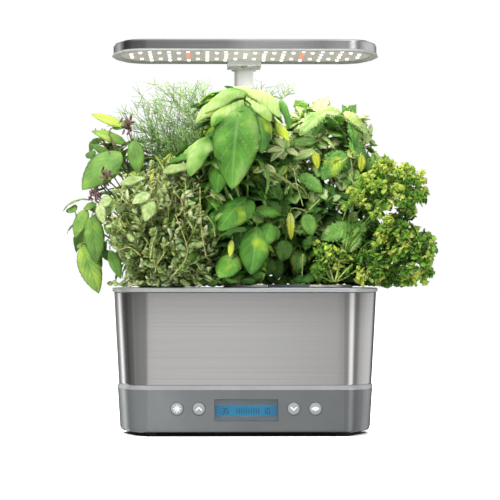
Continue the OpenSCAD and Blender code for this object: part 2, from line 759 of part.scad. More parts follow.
// Distance from a herb's middle to its outside along u: an egg with lumps, cut by its walls.
function herb_reach(i, u, walls) =
  let (s = herbs[i][1],
       egg = pow(pow(abs(u.x / s.x), squareness) + pow(abs(u.y / s.y), squareness)
                 + pow(abs(u.z / s.z), squareness), -1 / squareness),
       lumps = [for (k = herbs[i][2])
                  k[2] * exp(-pow(acos(max(-1, min(1, u * direction(k[0], k[1])))) / k[3], 2))],
       ripple = 3 * sin(5 * atan2(u.y, u.x) + 40 * i) * cos(4 * asin(u.z)),
       free = egg + lumps * [for (k = lumps) 1] + ripple,
       limits = [for (w = walls) wall_reach(i, u, w)],
       lid = max([for (w = lid_walls[i]) wall_reach(i, u, w)]))
  min(concat([free, lid], limits));

module canopy(i) {
  walls = herb_walls(i);
  n = 24;
  levels = [for (e = [-75:15:75]) e];
  c = herb_mid(i);
  sides = [for (e = levels) [for (k = [0:n - 1])
             let (u = direction(360 * k / n, e)) c + herb_reach(i, u, walls) * u]];
  foot = c - [0, 0, herb_reach(i, [0, 0, -1], walls)];
  top = c + [0, 0, herb_reach(i, [0, 0, 1], walls)];
  m = len(levels);
  polyhedron(points = concat([for (s = sides) each s], [foot, top]),
             faces = concat([for (k = [0:m - 2]) each strip(k, k + 1, n)],
                            [for (k = [0:n - 1]) [m * n, k, (k + 1) % n]],
                            [for (k = [0:n - 1]) [m * n + 1, (m - 1) * n + (k + 1) % n,
                                                  (m - 1) * n + k]]),
             convexity = 4);
}

// The stems run from the pod's sponge to the middle of the foliage.
module stems(i, r) {
  foot = [pod_xy[i].x, pod_xy[i].y, sponge_top_z];
  knee = [pod_xy[i].x, pod_xy[i].y, label_z + 3];
  rise = herb_mid(i) - knee;
  translate(foot) cylinder(r = r, h = knee.z - foot.z);
  translate(knee) sphere(r);
  translate(knee) rotate([0, acos(rise.z / norm(rise)), atan2(rise.y, rise.x)])
    cylinder(r1 = r, r2 = r * 0.6, h = norm(rise));
}

module herb(i, stem_r) {
  canopy(i);
  stems(i, stem_r);
}

// ---- Post and lamp ----------------------------------------------------------------------------

module tube(w, d, r, wall, h) {
  difference() {
    bar(w, d, r, h);
    translate([0, 0, -1]) bar(w - 2 * wall, d - 2 * wall, max(0.8, r - wall), h + 2);
  }
}

module lower_post() {
  color("#c9cbce") translate([0, post_y, socket_floor_z])
    tube(lower_w, lower_d, 4, lower_wall, lower_top_z - socket_floor_z);
}

module post_collar() {
  collar_height = 8;
  color("#a9abae") translate([0, post_y, lower_top_z]) difference() {
    union() {
      bar(lower_w, lower_d, 4, 3);
      translate([0, 0, 3]) bar(lower_w - 2, lower_d - 2, 3.4, collar_height - 3);
    }
    translate([0, 0, -1])
      bar(upper_w + 2 * tube_gap, upper_d + 2 * tube_gap, 3.4, collar_height + 2);
  }
}

module upper_post() {
  color("#d6d7dc") translate([0, post_y, upper_top_z - upper_l])
    tube(upper_w, upper_d, 3, 1.8, upper_l);
}

module lamp_mount() {
  plate_end_y = post_y + lower_d / 2 + 1;
  plate_l = plate_end_y - mount_front_y;
  inner_edge_y = lamp_d / 2 - 9;
  color("#dcdde0") difference() {
    union() {
      translate([0, mount_front_y + plate_l / 2, lamp_z - mount_t]) bar(mount_w, plate_l, 3, mount_t - 0.1);
      translate([-mount_w / 2 + 1, mount_front_y + 1, lamp_z - 1])
        cube([mount_w - 2, inner_edge_y - mount_front_y - 1, bezel_h + 1]);
      translate([0, post_y, upper_top_z]) bar(upper_w + 6, upper_d + 4.5, 3.5, neck_h + 0.5);
      translate([0, (lamp_d / 2 + 0.6 + plate_end_y) / 2, lamp_z - 1])
        bar(mount_w - 6, plate_end_y - lamp_d / 2 - 0.6, 3, shell_h - 2);
    }
    for (y = screw_ys) translate([0, y, lamp_z - mount_t - 1]) cylinder(r = 1.9, h = 12);
  }
}

module lamp_shell() {
  crown = 1.6;
  color("#98999a") skin(rings([
    [shell_inset + shell_t, shell_top_z - shell_t],
    [shell_inset + shell_t, shell_z],
    [shell_inset, shell_z],
    [shell_inset, shell_top_z - 1.4],
    [shell_inset + 0.5, shell_top_z - 0.5],
    [shell_inset + 1.8, shell_top_z],
    [20, shell_top_z + crown]], lamp_w, lamp_d));
}

module lamp_bezel() {
  color("#a6a8aa") band([[1.2, lamp_z], [0.3, lamp_z + 0.5], [0, lamp_z + 1.2],
                         [0.4, shell_z - 0.3], [1.2, shell_z], [7.6, shell_z], [7, lamp_z]],
                        lamp_w, lamp_d);
}

module led_board() {
  color("#eceee8") plate(shell_inset + shell_t + 0.9, shell_z, board_t, lamp_w, lamp_d);
}

module heat_spreader() {
  color("#b8babc") plate(12, shell_z + board_t, 1.2, lamp_w, lamp_d);
}

// One LED per [x, y], as a lens that hangs below the board.
module leds(places) {
  for (p = places) translate([p.x, p.y, shell_z - led_h]) {
    cylinder(r1 = led_r * 0.7, r2 = led_r, h = led_h * 0.4);
    translate([0, 0, led_h * 0.4]) cylinder(r = led_r, h = led_h * 0.6);
  }
}

module white_leds() {
  color("#fffff0") {
    leds([for (y = [-led_rows[0], led_rows[0]], x = outer_row_xs, side = [-1, 1]) [side * x, y]]);
    leds([for (y = [-led_rows[1], led_rows[1]], k = [-6:5]) [(k + 0.5) * led_pitch, y]]);
    leds([for (p = inner_places) if (p[2] != coloured[0] && p[2] != coloured[1]) p]);
  }
}

module colour_leds() {
  color("#e0523a") leds([for (p = inner_places) if (p[2] == coloured[0] || p[2] == coloured[1]) p]);
}

module lamp_screws() {
  color("#8d9093") for (y = screw_ys) translate([0, y, lamp_z - mount_t - screw_head_h])
    pan_screw(3.2, screw_r, shell_z - lamp_z + mount_t);
}

base_housing();
base_cover();
base_trim();
feet();
base_screws();
display_lens();
display_frame();
lcd_panel();
control_board();
tact_switches();
for (i = [0:3]) button(button_xs[i]);
power_jack();
pump_motor();
water_bowl();
steel_wrap();
bowl_rim();
pump_housing();
pump_cover();
pump_filter();
impeller();
impeller_pin();
riser_tube();
float_guide();
level_float();
grow_deck();
fill_lid();
fill_lid_pin();
for (i = [0:5]) pod_basket(i);
for (i = [0:5]) pod_label(i);
grow_sponges();
color("#4f8a3c") herb(0, 4);  // thai_basil
color("#5c9a4a") herb(1, 4);  // dill
color("#3f8a35") herb(2, 5);  // mint
color("#7d9c62") herb(3, 5);  // thyme
color("#55b03c") herb(4, 5);  // sweet_basil
color("#2f7a2c") herb(5, 6);  // parsley
lower_post();
post_collar();
upper_post();
lamp_mount();
lamp_shell();
lamp_bezel();
led_board();
heat_spreader();
white_leds();
colour_leds();
lamp_screws();
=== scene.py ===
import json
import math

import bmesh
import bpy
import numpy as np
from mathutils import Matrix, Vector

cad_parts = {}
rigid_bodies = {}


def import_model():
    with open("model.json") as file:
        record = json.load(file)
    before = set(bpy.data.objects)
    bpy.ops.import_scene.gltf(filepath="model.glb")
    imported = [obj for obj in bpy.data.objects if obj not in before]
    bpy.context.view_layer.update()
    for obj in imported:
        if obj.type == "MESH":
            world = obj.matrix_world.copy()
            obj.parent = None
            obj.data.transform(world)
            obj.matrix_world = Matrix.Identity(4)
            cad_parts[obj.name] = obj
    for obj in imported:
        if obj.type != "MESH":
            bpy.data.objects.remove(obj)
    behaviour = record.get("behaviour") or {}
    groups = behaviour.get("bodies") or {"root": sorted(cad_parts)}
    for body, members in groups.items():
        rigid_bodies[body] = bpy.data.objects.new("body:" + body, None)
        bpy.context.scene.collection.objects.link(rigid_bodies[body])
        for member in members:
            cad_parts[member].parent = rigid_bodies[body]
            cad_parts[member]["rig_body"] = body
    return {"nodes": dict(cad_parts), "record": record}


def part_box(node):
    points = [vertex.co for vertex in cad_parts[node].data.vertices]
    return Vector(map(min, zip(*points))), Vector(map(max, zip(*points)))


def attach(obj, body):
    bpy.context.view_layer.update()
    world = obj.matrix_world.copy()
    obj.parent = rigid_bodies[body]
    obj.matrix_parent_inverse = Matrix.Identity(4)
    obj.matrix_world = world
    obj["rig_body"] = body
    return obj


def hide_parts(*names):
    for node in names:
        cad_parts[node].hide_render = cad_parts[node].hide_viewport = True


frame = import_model()

# %% [markdown]
# # A countertop hydroponic garden
# The garden is a grey base with a blue display, a water bowl in a brushed steel wrap, a deck with
# six herbs and an LED hood on a post. The CAD model gives every hard piece its exact place, so
# this lesson dresses those pieces, replaces the steel wrap by a finer surface, and grows the
# herbs leaf by leaf inside the spaces that the CAD model keeps for them.

scene = bpy.context.scene
scene.view_settings.view_transform = "Standard"


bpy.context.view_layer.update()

# %% [markdown]
# ## The camera
# A view of a thing this size is taken from a few metres away with a long lens, so that its
# sides stay nearly parallel. The camera could be aimed with a constraint, but typed angles keep
# the lens axis exact, and they make it easy to work out which point of the garden a place in the
# 500 by 500 frame shows.

# %% Camera
LENS, SENSOR, FRAME = 173.2, 36.0, 500
camera = bpy.data.objects.new("camera", bpy.data.cameras.new("camera"))
scene.collection.objects.link(camera)
scene.camera = camera
camera.data.lens = LENS
camera.data.sensor_width = SENSOR
camera.data.clip_start, camera.data.clip_end = 0.1, 60
camera.location = (-0.0412, -2.423, 0.1537)
camera.rotation_euler = np.radians([90.71, 0, -1.09])
turn = np.array(camera.rotation_euler.to_matrix())


def seen(x, y, depth):
    """The point at y = depth, in metres, that the camera shows at pixel x, y of its frame: the
    camera's place plus the pixel's ray, stretched until it reaches that depth."""
    ray = turn @ np.array([(x - FRAME / 2) / FRAME * SENSOR / LENS,
                           (FRAME / 2 - y) / FRAME * SENSOR / LENS, -1.0])
    place = np.array(camera.location)
    return place + ray * (depth - place[1]) / ray[1]


def shown_at(points):
    """Where the camera's frame shows points, as x and y in pixels: the points seen from the
    camera's place, divided by how far away they are."""
    ray = (points - np.array(camera.location)) @ turn
    scale = -LENS / SENSOR * FRAME / ray[..., 2]
    return FRAME / 2 + ray[..., 0] * scale, FRAME / 2 - ray[..., 1] * scale


print("one pixel at the steel wrap is", round(1000 * float(np.linalg.norm(
    seen(251, 340, -0.073) - seen(250, 340, -0.073))), 3), "mm")

# %% [markdown]
# ## The studio
# Brushed metal only looks like metal when it has something to mirror, so in a studio it stands
# among white and grey cards. Cards could be modelled as planes, but a band of grey values round
# the horizon in the world gives the same stripes, and nothing gets into the camera's view. Only
# glossy rays see that band. The camera and clear parts see a plain white room, and the leaves
# and plastics are lit by a soft grey sky and by lamps at a plain level.


# %% Node helpers
def put(tree, socket, value):
    """Links a value that is a socket to an input, and types any other value in."""
    if isinstance(value, bpy.types.NodeSocket):
        tree.links.new(value, socket)
    else:
        socket.default_value = value


def add(tree, kind, inputs=None, **settings):
    """Adds one shader node with its settings and inputs."""
    node = tree.nodes.new(kind)
    for key, value in settings.items():
        setattr(node, key, value)
    for key, value in (inputs or {}).items():
        put(tree, node.inputs[key], value)
    return node


def feed(tree, node, **values):
    """Sets a node's inputs. An underscore in an argument's name is a space in the socket's."""
    for label, value in values.items():
        put(tree, node.inputs[label.replace("_", " ")], value)
    return node


def math_node(tree, operation, a, b=None, clamp=False):
    """One Math node's result."""
    inputs = {0: a} if b is None else {0: a, 1: b}
    return add(tree, "ShaderNodeMath", inputs, operation=operation, use_clamp=clamp).outputs[0]


def times(tree, a, b):
    """The product of two values."""
    return math_node(tree, "MULTIPLY", a, b)


def spread(tree, value, low, high, to_low=0.0, to_high=1.0, **settings):
    """Value mapped from low..high to to_low..to_high, and held at the ends."""
    return add(tree, "ShaderNodeMapRange", {"Value": value, "From Min": low, "From Max": high,
                                            "To Min": to_low, "To Max": to_high},
               **settings).outputs[0]


def mixed(tree, factor, a, b, blend="MIX"):
    """The colour of a Mix node. The node has sockets of the same name for every data type, so
    its colours go by number."""
    return add(tree, "ShaderNodeMix", {0: factor, 6: a, 7: b}, data_type="RGBA",
               blend_type=blend).outputs[2]


def steps(tree, value, stops):
    """A ramp of greys: stops are pairs of a place from 0 to 1 and the grey there."""
    ramp = add(tree, "ShaderNodeValToRGB", {0: value})
    stop = ramp.color_ramp.elements
    stop.remove(stop[-1])
    for k, (place, grey) in enumerate(stops):
        here = stop[0] if k == 0 else stop.new(place)
        here.position = place
        here.color = (grey, grey, grey, 1)
    return ramp.outputs[0]


def own_place(tree):
    """Object coordinates: each point's place on its piece, in metres."""
    return add(tree, "ShaderNodeTexCoord").outputs["Object"]


def axes_of(tree):
    """Object coordinates as separate X, Y and Z outputs."""
    return add(tree, "ShaderNodeSeparateXYZ", {0: own_place(tree)}).outputs


def noise(tree, scale, detail=2.0, vector=None, roughness=0.5):
    """Noise over the Object coordinates, or over another vector."""
    where = own_place(tree) if vector is None else vector
    return add(tree, "ShaderNodeTexNoise", {"Vector": where, "Scale": scale, "Detail": detail,
                                            "Roughness": roughness}).outputs[0]


def rays(tree):
    """Two masks: what the lens sees directly or through a clear part, and what is mirrored."""
    path = add(tree, "ShaderNodeLightPath").outputs
    direct = math_node(tree, "MAXIMUM", path["Is Camera Ray"], path["Is Transmission Ray"])
    return direct, path["Is Glossy Ray"]


def linear(*srgb):
    """Display values from 0 to 255 as linear light, with alpha 1 added to a colour."""
    c = np.array(srgb, float) / 255
    c = np.where(c <= 0.04045, c / 12.92, ((c + 0.055) / 1.055) ** 2.4)
    return [float(x) for x in c] + [1.0] if len(srgb) == 3 else float(c[0])


# %% World
# Degrees round the horizon from the camera's side, positive to the right, with the grey that
# brushed steel shows there.
CARDS = [(-180, 84), (-165, 106), (-156, 116), (-151, 190), (-147, 255), (-143, 190), (-139, 76),
         (-128, 60), (-110, 78), (-84, 94), (-74, 118), (-66, 110), (-40, 120), (-16, 122),
         (-7, 148), (-2, 175), (1, 179), (3, 160), (5, 136), (10, 126), (24, 130), (33, 206),
         (41, 232), (48, 214), (54, 146), (59, 110), (72, 110), (90, 154), (110, 168), (150, 178),
         (161, 50), (180, 84)]
STEEL_TONE, CARD_LIGHT = 0.62, 1.6

world = bpy.data.worlds.new("studio")
scene.world = world
world.use_nodes = True
tree = world.node_tree
tree.nodes.clear()
way = add(tree, "ShaderNodeSeparateXYZ", {
    0: add(tree, "ShaderNodeTexCoord").outputs["Generated"]}).outputs
around = math_node(tree, "ARCTAN2", way["X"], times(tree, way["Y"], -1.0))
cards = steps(tree, spread(tree, around, -math.pi, math.pi), [
    ((angle + 180) / 360, min(linear(grey) / STEEL_TONE / CARD_LIGHT, 1))
    for angle, grey in CARDS])
ceiling = steps(tree, way["Z"], [(0.7, 0.125), (0.85, 0.78)])
mirrored = mixed(tree, spread(tree, way["Z"], 0.28, 0.5), cards, ceiling)
room, sky, white = (
    add(tree, "ShaderNodeBackground", {"Color": color, "Strength": strength}).outputs[0]
    for color, strength in ((mirrored, CARD_LIGHT), ((0.98, 0.99, 1.0, 1), 0.56),
                            ((1, 1, 1, 1), 1.0)))
direct, glossy = rays(tree)
shiny = add(tree, "ShaderNodeMixShader", {0: glossy, 1: sky, 2: room}).outputs[0]
backdrop = add(tree, "ShaderNodeMixShader", {0: direct, 1: shiny, 2: white}).outputs[0]
add(tree, "ShaderNodeOutputWorld", {0: backdrop})
print("grey cards round the horizon:", len(CARDS))


# %% Lamps
def softbox(name, place, aim, size, power, tint=(1, 1, 1)):
    """A rectangular lamp that looks at the point aim, and that nothing mirrors."""
    lamp = bpy.data.lights.new(name, "AREA")
    lamp.shape = "RECTANGLE"
    lamp.size, lamp.size_y = size
    lamp.energy = power
    lamp.color = tint
    holder = bpy.data.objects.new(name, lamp)
    holder.location = place
    holder.rotation_euler = (Vector(aim) - Vector(place)).to_track_quat("-Z", "Y").to_euler()
    holder.visible_camera = holder.visible_glossy = False
    scene.collection.objects.link(holder)


softbox("key", (-1.1, -1.7, 1.5), (0, 0, 0.22), (0.7, 0.7), 40)
softbox("fill", (1.5, -1.5, 0.7), (0, 0, 0.2), (0.8, 0.8), 10)
softbox("top", (0.1, 0.3, 1.7), (0, 0, 0.25), (1.0, 0.6), 12)
softbox("front", (-0.35, -0.95, 1.9), (0, 0, 0.25), (0.6, 0.6), 7)
softbox("grow_light", (0, 0, 0.374), (0, 0, 0.2), (0.24, 0.11), 0.36, (1.0, 0.98, 0.96))

# %% Floor
# To the lens the paper shows 2.8 times the light that falls on it, so that it is white where it
# lies open. Under the base it carries a painted shadow: a dark patch that is drawn in towards
# both ends. Light that bounces off it sees plain pale paper, and metal sees the grey cards
# instead.
OPEN_PAPER, PAINTED_SHADOW_PAPER = 2.8, 0.25
SHADOW_PATCH_X, SHADOW_PATCH_Y = (0.1215, 0.1235), (0.064, 0.0665)
DRAWN_FROM, DRAWN_IN = 0.095, 0.055

floor_mesh = bpy.data.meshes.new("floor")
floor_mesh.from_pydata([(-30, -30, 0), (30, -30, 0), (30, 30, 0), (-30, 30, 0)], [],
                       [(0, 1, 2, 3)])
floor = bpy.data.objects.new("floor", floor_mesh)
scene.collection.objects.link(floor)
floor_finish = bpy.data.materials.new("pale_floor")
floor_finish.use_nodes = True
tree = floor_finish.node_tree
tree.nodes.clear()
spot = axes_of(tree)
off_middle = math_node(tree, "ABSOLUTE", spot["X"])
drawn_in = spread(tree, off_middle, DRAWN_FROM, SHADOW_PATCH_X[1], 0.0, DRAWN_IN,
                  interpolation_type="SMOOTHSTEP")
before = math_node(tree, "ADD", math_node(tree, "ABSOLUTE", spot["Y"]), drawn_in)
open_paper = math_node(tree, "MAXIMUM", spread(tree, off_middle, *SHADOW_PATCH_X),
                       spread(tree, before, *SHADOW_PATCH_Y))
shown_paper = spread(tree, open_paper, 0.0, 1.0, PAINTED_SHADOW_PAPER, OPEN_PAPER)
paper, lifted = (add(tree, "ShaderNodeBsdfDiffuse", {"Color": color}).outputs[0]
                 for color in ((0.8, 0.8, 0.8, 1), shown_paper))
let_through = add(tree, "ShaderNodeBsdfTransparent").outputs[0]
direct, glossy = rays(tree)
surface = add(tree, "ShaderNodeMixShader", {0: direct, 1: paper, 2: lifted}).outputs[0]
surface = add(tree, "ShaderNodeMixShader", {0: glossy, 1: surface, 2: let_through}).outputs[0]
add(tree, "ShaderNodeOutputMaterial", {0: surface})
floor_mesh.materials.append(floor_finish)

# %% [markdown]
# ## Effects that several finishes share
# Moulded plastic has a fine grain, brushed metal has long thin scratches, and both are a little
# brighter where hands rub their edges. Each could be drawn into every material again, but a
# node group with named inputs is built once and then placed with its own values. A group only
# puts out colours, roughness values and heights, and the shader stays in the material.


# %% Group helper
def group(name, takes, gives):
    """A new node group, its inputs and its output node. takes and gives list (name, kind,
    value)."""
    made = bpy.data.node_groups.new(name, "ShaderNodeTree")
    for label, kind, value in takes:
        socket = made.interface.new_socket(label, in_out="INPUT", socket_type="NodeSocket" + kind)
        socket.default_value = value
    for label, kind in gives:
        made.interface.new_socket(label, in_out="OUTPUT", socket_type="NodeSocket" + kind)
    return made, add(made, "NodeGroupInput").outputs, add(made, "NodeGroupOutput")


# %% Moulded grain
grain, g_in, g_out = group(
    "Moulded grain",
    [("Color", "Color", (0.5, 0.5, 0.5, 1)), ("Scale", "Float", 900.0),
     ("Shade", "Float", 0.06), ("Roughness", "Float", 0.4), ("Rough Spread", "Float", 0.06)],
    [("Color", "Color"), ("Roughness", "Float"), ("Height", "Float")])
wide = noise(grain, 28.0, 3.0)
darker = mixed(grain, 1.0, g_in["Color"], (0.55, 0.55, 0.56, 1), "MULTIPLY")
blotch = times(grain, spread(grain, wide, 0.35, 0.75), g_in["Shade"])
swing = times(grain, math_node(grain, "SUBTRACT", wide, 0.5), g_in["Rough Spread"])
feed(grain, g_out, Color=mixed(grain, blotch, g_in["Color"], darker),
     Roughness=math_node(grain, "ADD", g_in["Roughness"], swing),
     Height=noise(grain, g_in["Scale"]))

# %% Brushing
brushing, b_in, b_out = group(
    "Brushing",
    [("Color", "Color", (0.6, 0.6, 0.6, 1)), ("Stretch", "Vector", (3.0, 3.0, 1500.0)),
     ("Shade", "Float", 0.1), ("Roughness", "Float", 0.3), ("Rough Spread", "Float", 0.12)],
    [("Color", "Color"), ("Roughness", "Float"), ("Height", "Float")])
stretched = add(brushing, "ShaderNodeVectorMath", {0: own_place(brushing), 1: b_in["Stretch"]},
                operation="MULTIPLY").outputs[0]
coarse = add(brushing, "ShaderNodeVectorMath", {0: stretched, 1: (0.35, 0.35, 0.18)},
             operation="MULTIPLY").outputs[0]
lines = noise(brushing, 1.0, 4.0, stretched, 0.65)
bands = noise(brushing, 1.0, 2.0, coarse)
mark = spread(brushing, math_node(brushing, "ADD", times(brushing, lines, 0.7),
                                  times(brushing, bands, 0.3)), 0.3, 0.7)
dull = mixed(brushing, 1.0, b_in["Color"], (0.45, 0.45, 0.45, 1), "MULTIPLY")
swing = times(brushing, math_node(brushing, "SUBTRACT", mark, 0.5), b_in["Rough Spread"])
feed(brushing, b_out,
     Color=mixed(brushing, times(brushing, mark, b_in["Shade"]), b_in["Color"], dull),
     Roughness=math_node(brushing, "ADD", b_in["Roughness"], swing), Height=lines)

# %% Edge wear
wear, w_in, w_out = group(
    "Edge wear",
    [("Color", "Color", (0.5, 0.5, 0.5, 1)), ("Worn", "Color", (0.8, 0.8, 0.8, 1)),
     ("Width", "Float", 0.0006), ("Amount", "Float", 0.5)], [("Color", "Color")])
rounded = add(wear, "ShaderNodeBevel", {"Radius": w_in["Width"]}, samples=4).outputs[0]
straight = add(wear, "ShaderNodeNewGeometry").outputs["Normal"]
agree = add(wear, "ShaderNodeVectorMath", {0: rounded, 1: straight},
            operation="DOT_PRODUCT").outputs["Value"]
edge = times(wear, spread(wear, agree, 0.995, 0.93), spread(wear, noise(wear, 160.0, 3.0), 0.4,
                                                           0.62))
mask = math_node(wear, "MULTIPLY", edge, w_in["Amount"], clamp=True)
feed(wear, w_out, Color=mixed(wear, mask, w_in["Color"], w_in["Worn"]))
print("groups:", [g.name for g in bpy.data.node_groups])

# %% [markdown]
# ## Finishes of the hard pieces
# The base is satin grey plastic with a trace of metallic flake, the rings are silver paint, the
# wrap and the hood are brushed metal, and the display glows. One function makes each moulded
# finish from its colour and roughness, so that they stay a family, and the metal ones get
# brushing that runs in their own direction.


# %% Making a finish
def finish(name, metallic=0.0, **sockets):
    """A material, its node tree and its Principled BSDF. Constants go on the shader's sockets."""
    made = bpy.data.materials.new(name)
    made.use_nodes = True
    tree = made.node_tree
    return made, tree, feed(tree, tree.nodes["Principled BSDF"], Metallic=metallic, **sockets)


def place_group(tree, which, **values):
    """The outputs of a group node that has its inputs set."""
    return feed(tree, add(tree, "ShaderNodeGroup", node_tree=which), **values).outputs


def bump(tree, shader, height, strength, distance):
    """A height that tilts the shader's normal."""
    feed(tree, shader, Normal=add(tree, "ShaderNodeBump", {
        "Height": height, "Strength": strength, "Distance": distance}).outputs[0])


def paint_light_along(tree, color, axis, stops, up_to=None):
    """Light and shade painted into a colour along one axis: the colour keeps a share of its
    strength, and stops are pairs of a place in metres and the share there, with straight steps
    between them. Above the height up_to, if there is one, it keeps the mean share."""
    places, parts = zip(*stops)
    first, last, top = places[0], places[-1], max(parts)
    axes = axes_of(tree)
    kept = steps(tree, spread(tree, axes[axis], first, last), [
        ((place - first) / (last - first), part / top) for place, part in stops])
    if up_to:
        mean = sum(parts) / len(parts) / top
        kept = mixed(tree, spread(tree, axes["Z"], up_to, up_to + 0.001), kept,
                     (mean, mean, mean, 1))
    return mixed(tree, 1.0, [c * top for c in color[:3]] + [1.0], kept, "MULTIPLY")


def moulded(name, rgb, roughness, metallic=0.0, scale=900.0, shade=0.25, depth=0.12, worn=None,
            painted_shading=None, **sockets):
    """Moulded plastic or paint: grain in its colour, roughness and height, and paler edges. Light
    and shade may be painted into its colour along one axis: an axis, stops and perhaps a height."""
    made, tree, shader = finish(name, metallic, **sockets)
    color = paint_light_along(tree, linear(*rgb), *painted_shading) if painted_shading else linear(*rgb)
    skin = place_group(tree, grain, Color=color, Scale=scale, Shade=shade, Roughness=roughness,
                       Rough_Spread=0.12)
    color = skin["Color"]
    if worn:
        color = place_group(tree, wear, Color=color, Worn=linear(*worn), Width=0.0005,
                            Amount=0.6)["Color"]
    feed(tree, shader, Base_Color=color, Roughness=skin["Roughness"])
    bump(tree, shader, skin["Height"], depth, 0.0001)
    return made


def brushed(name, tone, stretch, roughness, shade, anisotropy=0.0, tint=(1.0, 1.0, 1.0),
            metallic=1.0, painted_shading=None):
    """Brushed metal: long marks in its colour and roughness, and a highlight that is drawn out
    across them. Light and shade may be painted into its colour along one axis, as for moulded."""
    made, tree, shader = finish(name, metallic, Anisotropic=anisotropy, Anisotropic_Rotation=0.25)
    color = [tone * t for t in tint] + [1.0]
    if painted_shading:
        color = paint_light_along(tree, color, *painted_shading)
    marks = place_group(tree, brushing, Color=color, Stretch=stretch, Shade=shade,
                        Roughness=roughness)
    feed(tree, shader, Base_Color=marks["Color"], Roughness=marks["Roughness"])
    bump(tree, shader, marks["Height"], 0.03, 0.00005)
    if anisotropy:
        feed(tree, shader, Tangent=add(tree, "ShaderNodeTangent", direction_type="RADIAL",
                                       axis="Z").outputs[0])
    return made


# %% Plastics, rubber and paint
BOARD_PAINTED_GLOW = linear(222, 218, 206)
finishes = {
    # The housing is lighter towards its left end: painted light from the side of the key lamp.
    "housing": moulded("satin_grey_housing", (131, 134, 135), 0.2, 0.6, worn=(158, 161, 163),
                       painted_shading=("X", [(-0.12, 1.32), (-0.085, 1.3), (-0.02, 1.0), (0.12, 0.95)])),
    "silver_trim": moulded("silver_paint", (196, 197, 198), 0.3, 0.55, worn=(225, 225, 225)),
    "dark_plastic": moulded("dark_base_plastic", (58, 60, 62), 0.55, scale=600.0),
    "rubber": moulded("rubber_feet", (28, 28, 30), 0.8, scale=700.0, depth=0.3),
    "display_frame": moulded("display_frame_paint", (116, 121, 123), 0.4, 0.2),
    "circuit_board": moulded("green_circuit_board", (26, 84, 52), 0.35, shade=0.5),
    "button": moulded("button_plastic", (153, 156, 157), 0.38, worn=(186, 188, 189)),
    "motor": moulded("motor_can_paint", (150, 128, 92), 0.4, 0.6),
    "bowl": moulded("dark_bowl_plastic", (66, 69, 71), 0.45),
    "filter_foam": moulded("filter_foam", (34, 34, 36), 0.95, scale=380.0, shade=0.8, depth=1.0),
    "impeller_plastic": moulded("impeller_plastic", (212, 214, 216), 0.35),
    "float_plastic": moulded("float_plastic", (224, 224, 221), 0.45),
    "deck": moulded("deck_plastic", (88, 91, 93), 0.42, worn=(120, 123, 125)),
    "pod_plastic": moulded("pod_plastic", (228, 227, 220), 0.45),
    "pod_label": moulded("pod_label_paper", (226, 222, 178), 0.6, scale=300.0, shade=0.5),
    "peat": moulded("peat_sponge", (74, 56, 40), 0.95, scale=260.0, shade=1.0, depth=1.0),
    "post_plastic": moulded("silver_post_plastic", (223, 221, 226), 0.4, 0.1),
    # The board is no lamp, yet it glows: painted light for the LEDs' light on it, over a dark
    # base.
    "led_board": moulded("white_led_board", (120, 112, 116), 0.5, shade=0.35,
                         Emission_Color=BOARD_PAINTED_GLOW, Emission_Strength=0.46),
    # The bezel's colour is darker towards its far side: painted shade of the lamp's own rim.
    "bezel": moulded("lamp_bezel_paint", (190, 190, 188), 0.45, 0.15,
                     painted_shading=("Y", [(0.0, 1.0), (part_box("lamp_bezel")[1].y - 0.008, 0.62)])),
    "white_print": moulded("white_icon_print", (246, 247, 248), 0.4),
    "lcd_ink": moulded("display_segments", (4, 34, 62), 0.5),
}
# The board's painted glow is brightest over the mount, which throws its light back.
tree = finishes["led_board"].node_tree
feed(tree, tree.nodes["Principled BSDF"], Emission_Color=paint_light_along(tree, BOARD_PAINTED_GLOW, "X", [
    (-0.13, 0.96), (-0.06, 0.94), (-0.025, 1.14), (0.025, 1.14), (0.06, 0.96), (0.13, 0.98)]))
print("moulded finishes:", len(finishes))

# %% Metals
# The wrap's colour grows darker towards its rim: painted shade under the rim and a painted
# reflection of the dark herbs above it.
finishes["steel"] = brushed(
    "brushed_steel_wrap", STEEL_TONE * 1.12, (5.0, 5.0, 2600.0), 0.16, 0.12, 0.85,
    (1.0, 0.99, 0.965), painted_shading=("Z", [(0.1, 1.0), (0.115, 0.93), (0.123, 0.86), (0.135, 0.76),
                                    (0.139, 0.7), (0.143, 0.62)]))
# The hood's colour is darker on its left half and lighter on its right, with a bright band near
# the right end and an even tone on its top: a painted reflection of the studio.
finishes["hood_metal"] = brushed(
    "brushed_hood_metal", 0.79, (14.0, 900.0, 2100.0), 0.24, 0.6,
    painted_shading=("X", [(-0.13, 0.5), (-0.09, 0.54), (-0.05, 0.62), (-0.02, 0.66), (0.0, 1.0),
                (0.05, 1.0), (0.075, 0.84), (0.09, 1.1), (0.1, 1.25), (0.13, 1.1)],
          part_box("lamp_shell")[1].z - 0.0025))
post_low, post_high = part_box("upper_post")
# The post's colour is darker along its left edge: painted shade.
finishes["post_metal"] = brushed(
    "satin_post_metal", 0.95, (1200.0, 1200.0, 6.0), 0.36, 0.12, tint=(0.99, 0.965, 1.0),
    metallic=0.25,
    painted_shading=("X", [(post_low.x, 0.5), (post_low.x + 0.0015, 0.52), (post_low.x + 0.005, 0.82),
                (post_high.x - 0.006, 0.94), (post_high.x, 0.94)]))
finishes["steel_screw"] = brushed("steel_screws", 0.55, (900.0, 900.0, 900.0), 0.35, 0.3)


# %% Clear parts and the display
def clear_plastic(name, clearness, ior, rgb, scale, shade, roughness, rough_spread):
    """Clear plastic with a faint smear in its colour and roughness."""
    made, tree, shader = finish(name, Transmission_Weight=clearness, IOR=ior)
    smear = place_group(tree, grain, Color=linear(*rgb), Scale=scale, Shade=shade,
                        Roughness=roughness, Rough_Spread=rough_spread)
    feed(tree, shader, Base_Color=smear["Color"], Roughness=smear["Roughness"])
    return made


finishes["window"] = clear_plastic("display_window", 1.0, 1.22, (236, 242, 246), 60.0, 0.05,
                                   0.0, 0.01)
finishes["clear_tube"] = clear_plastic("riser_tube_plastic", 0.7, 1.45, (215, 226, 230), 200.0,
                                       0.1, 0.25, 0.1)

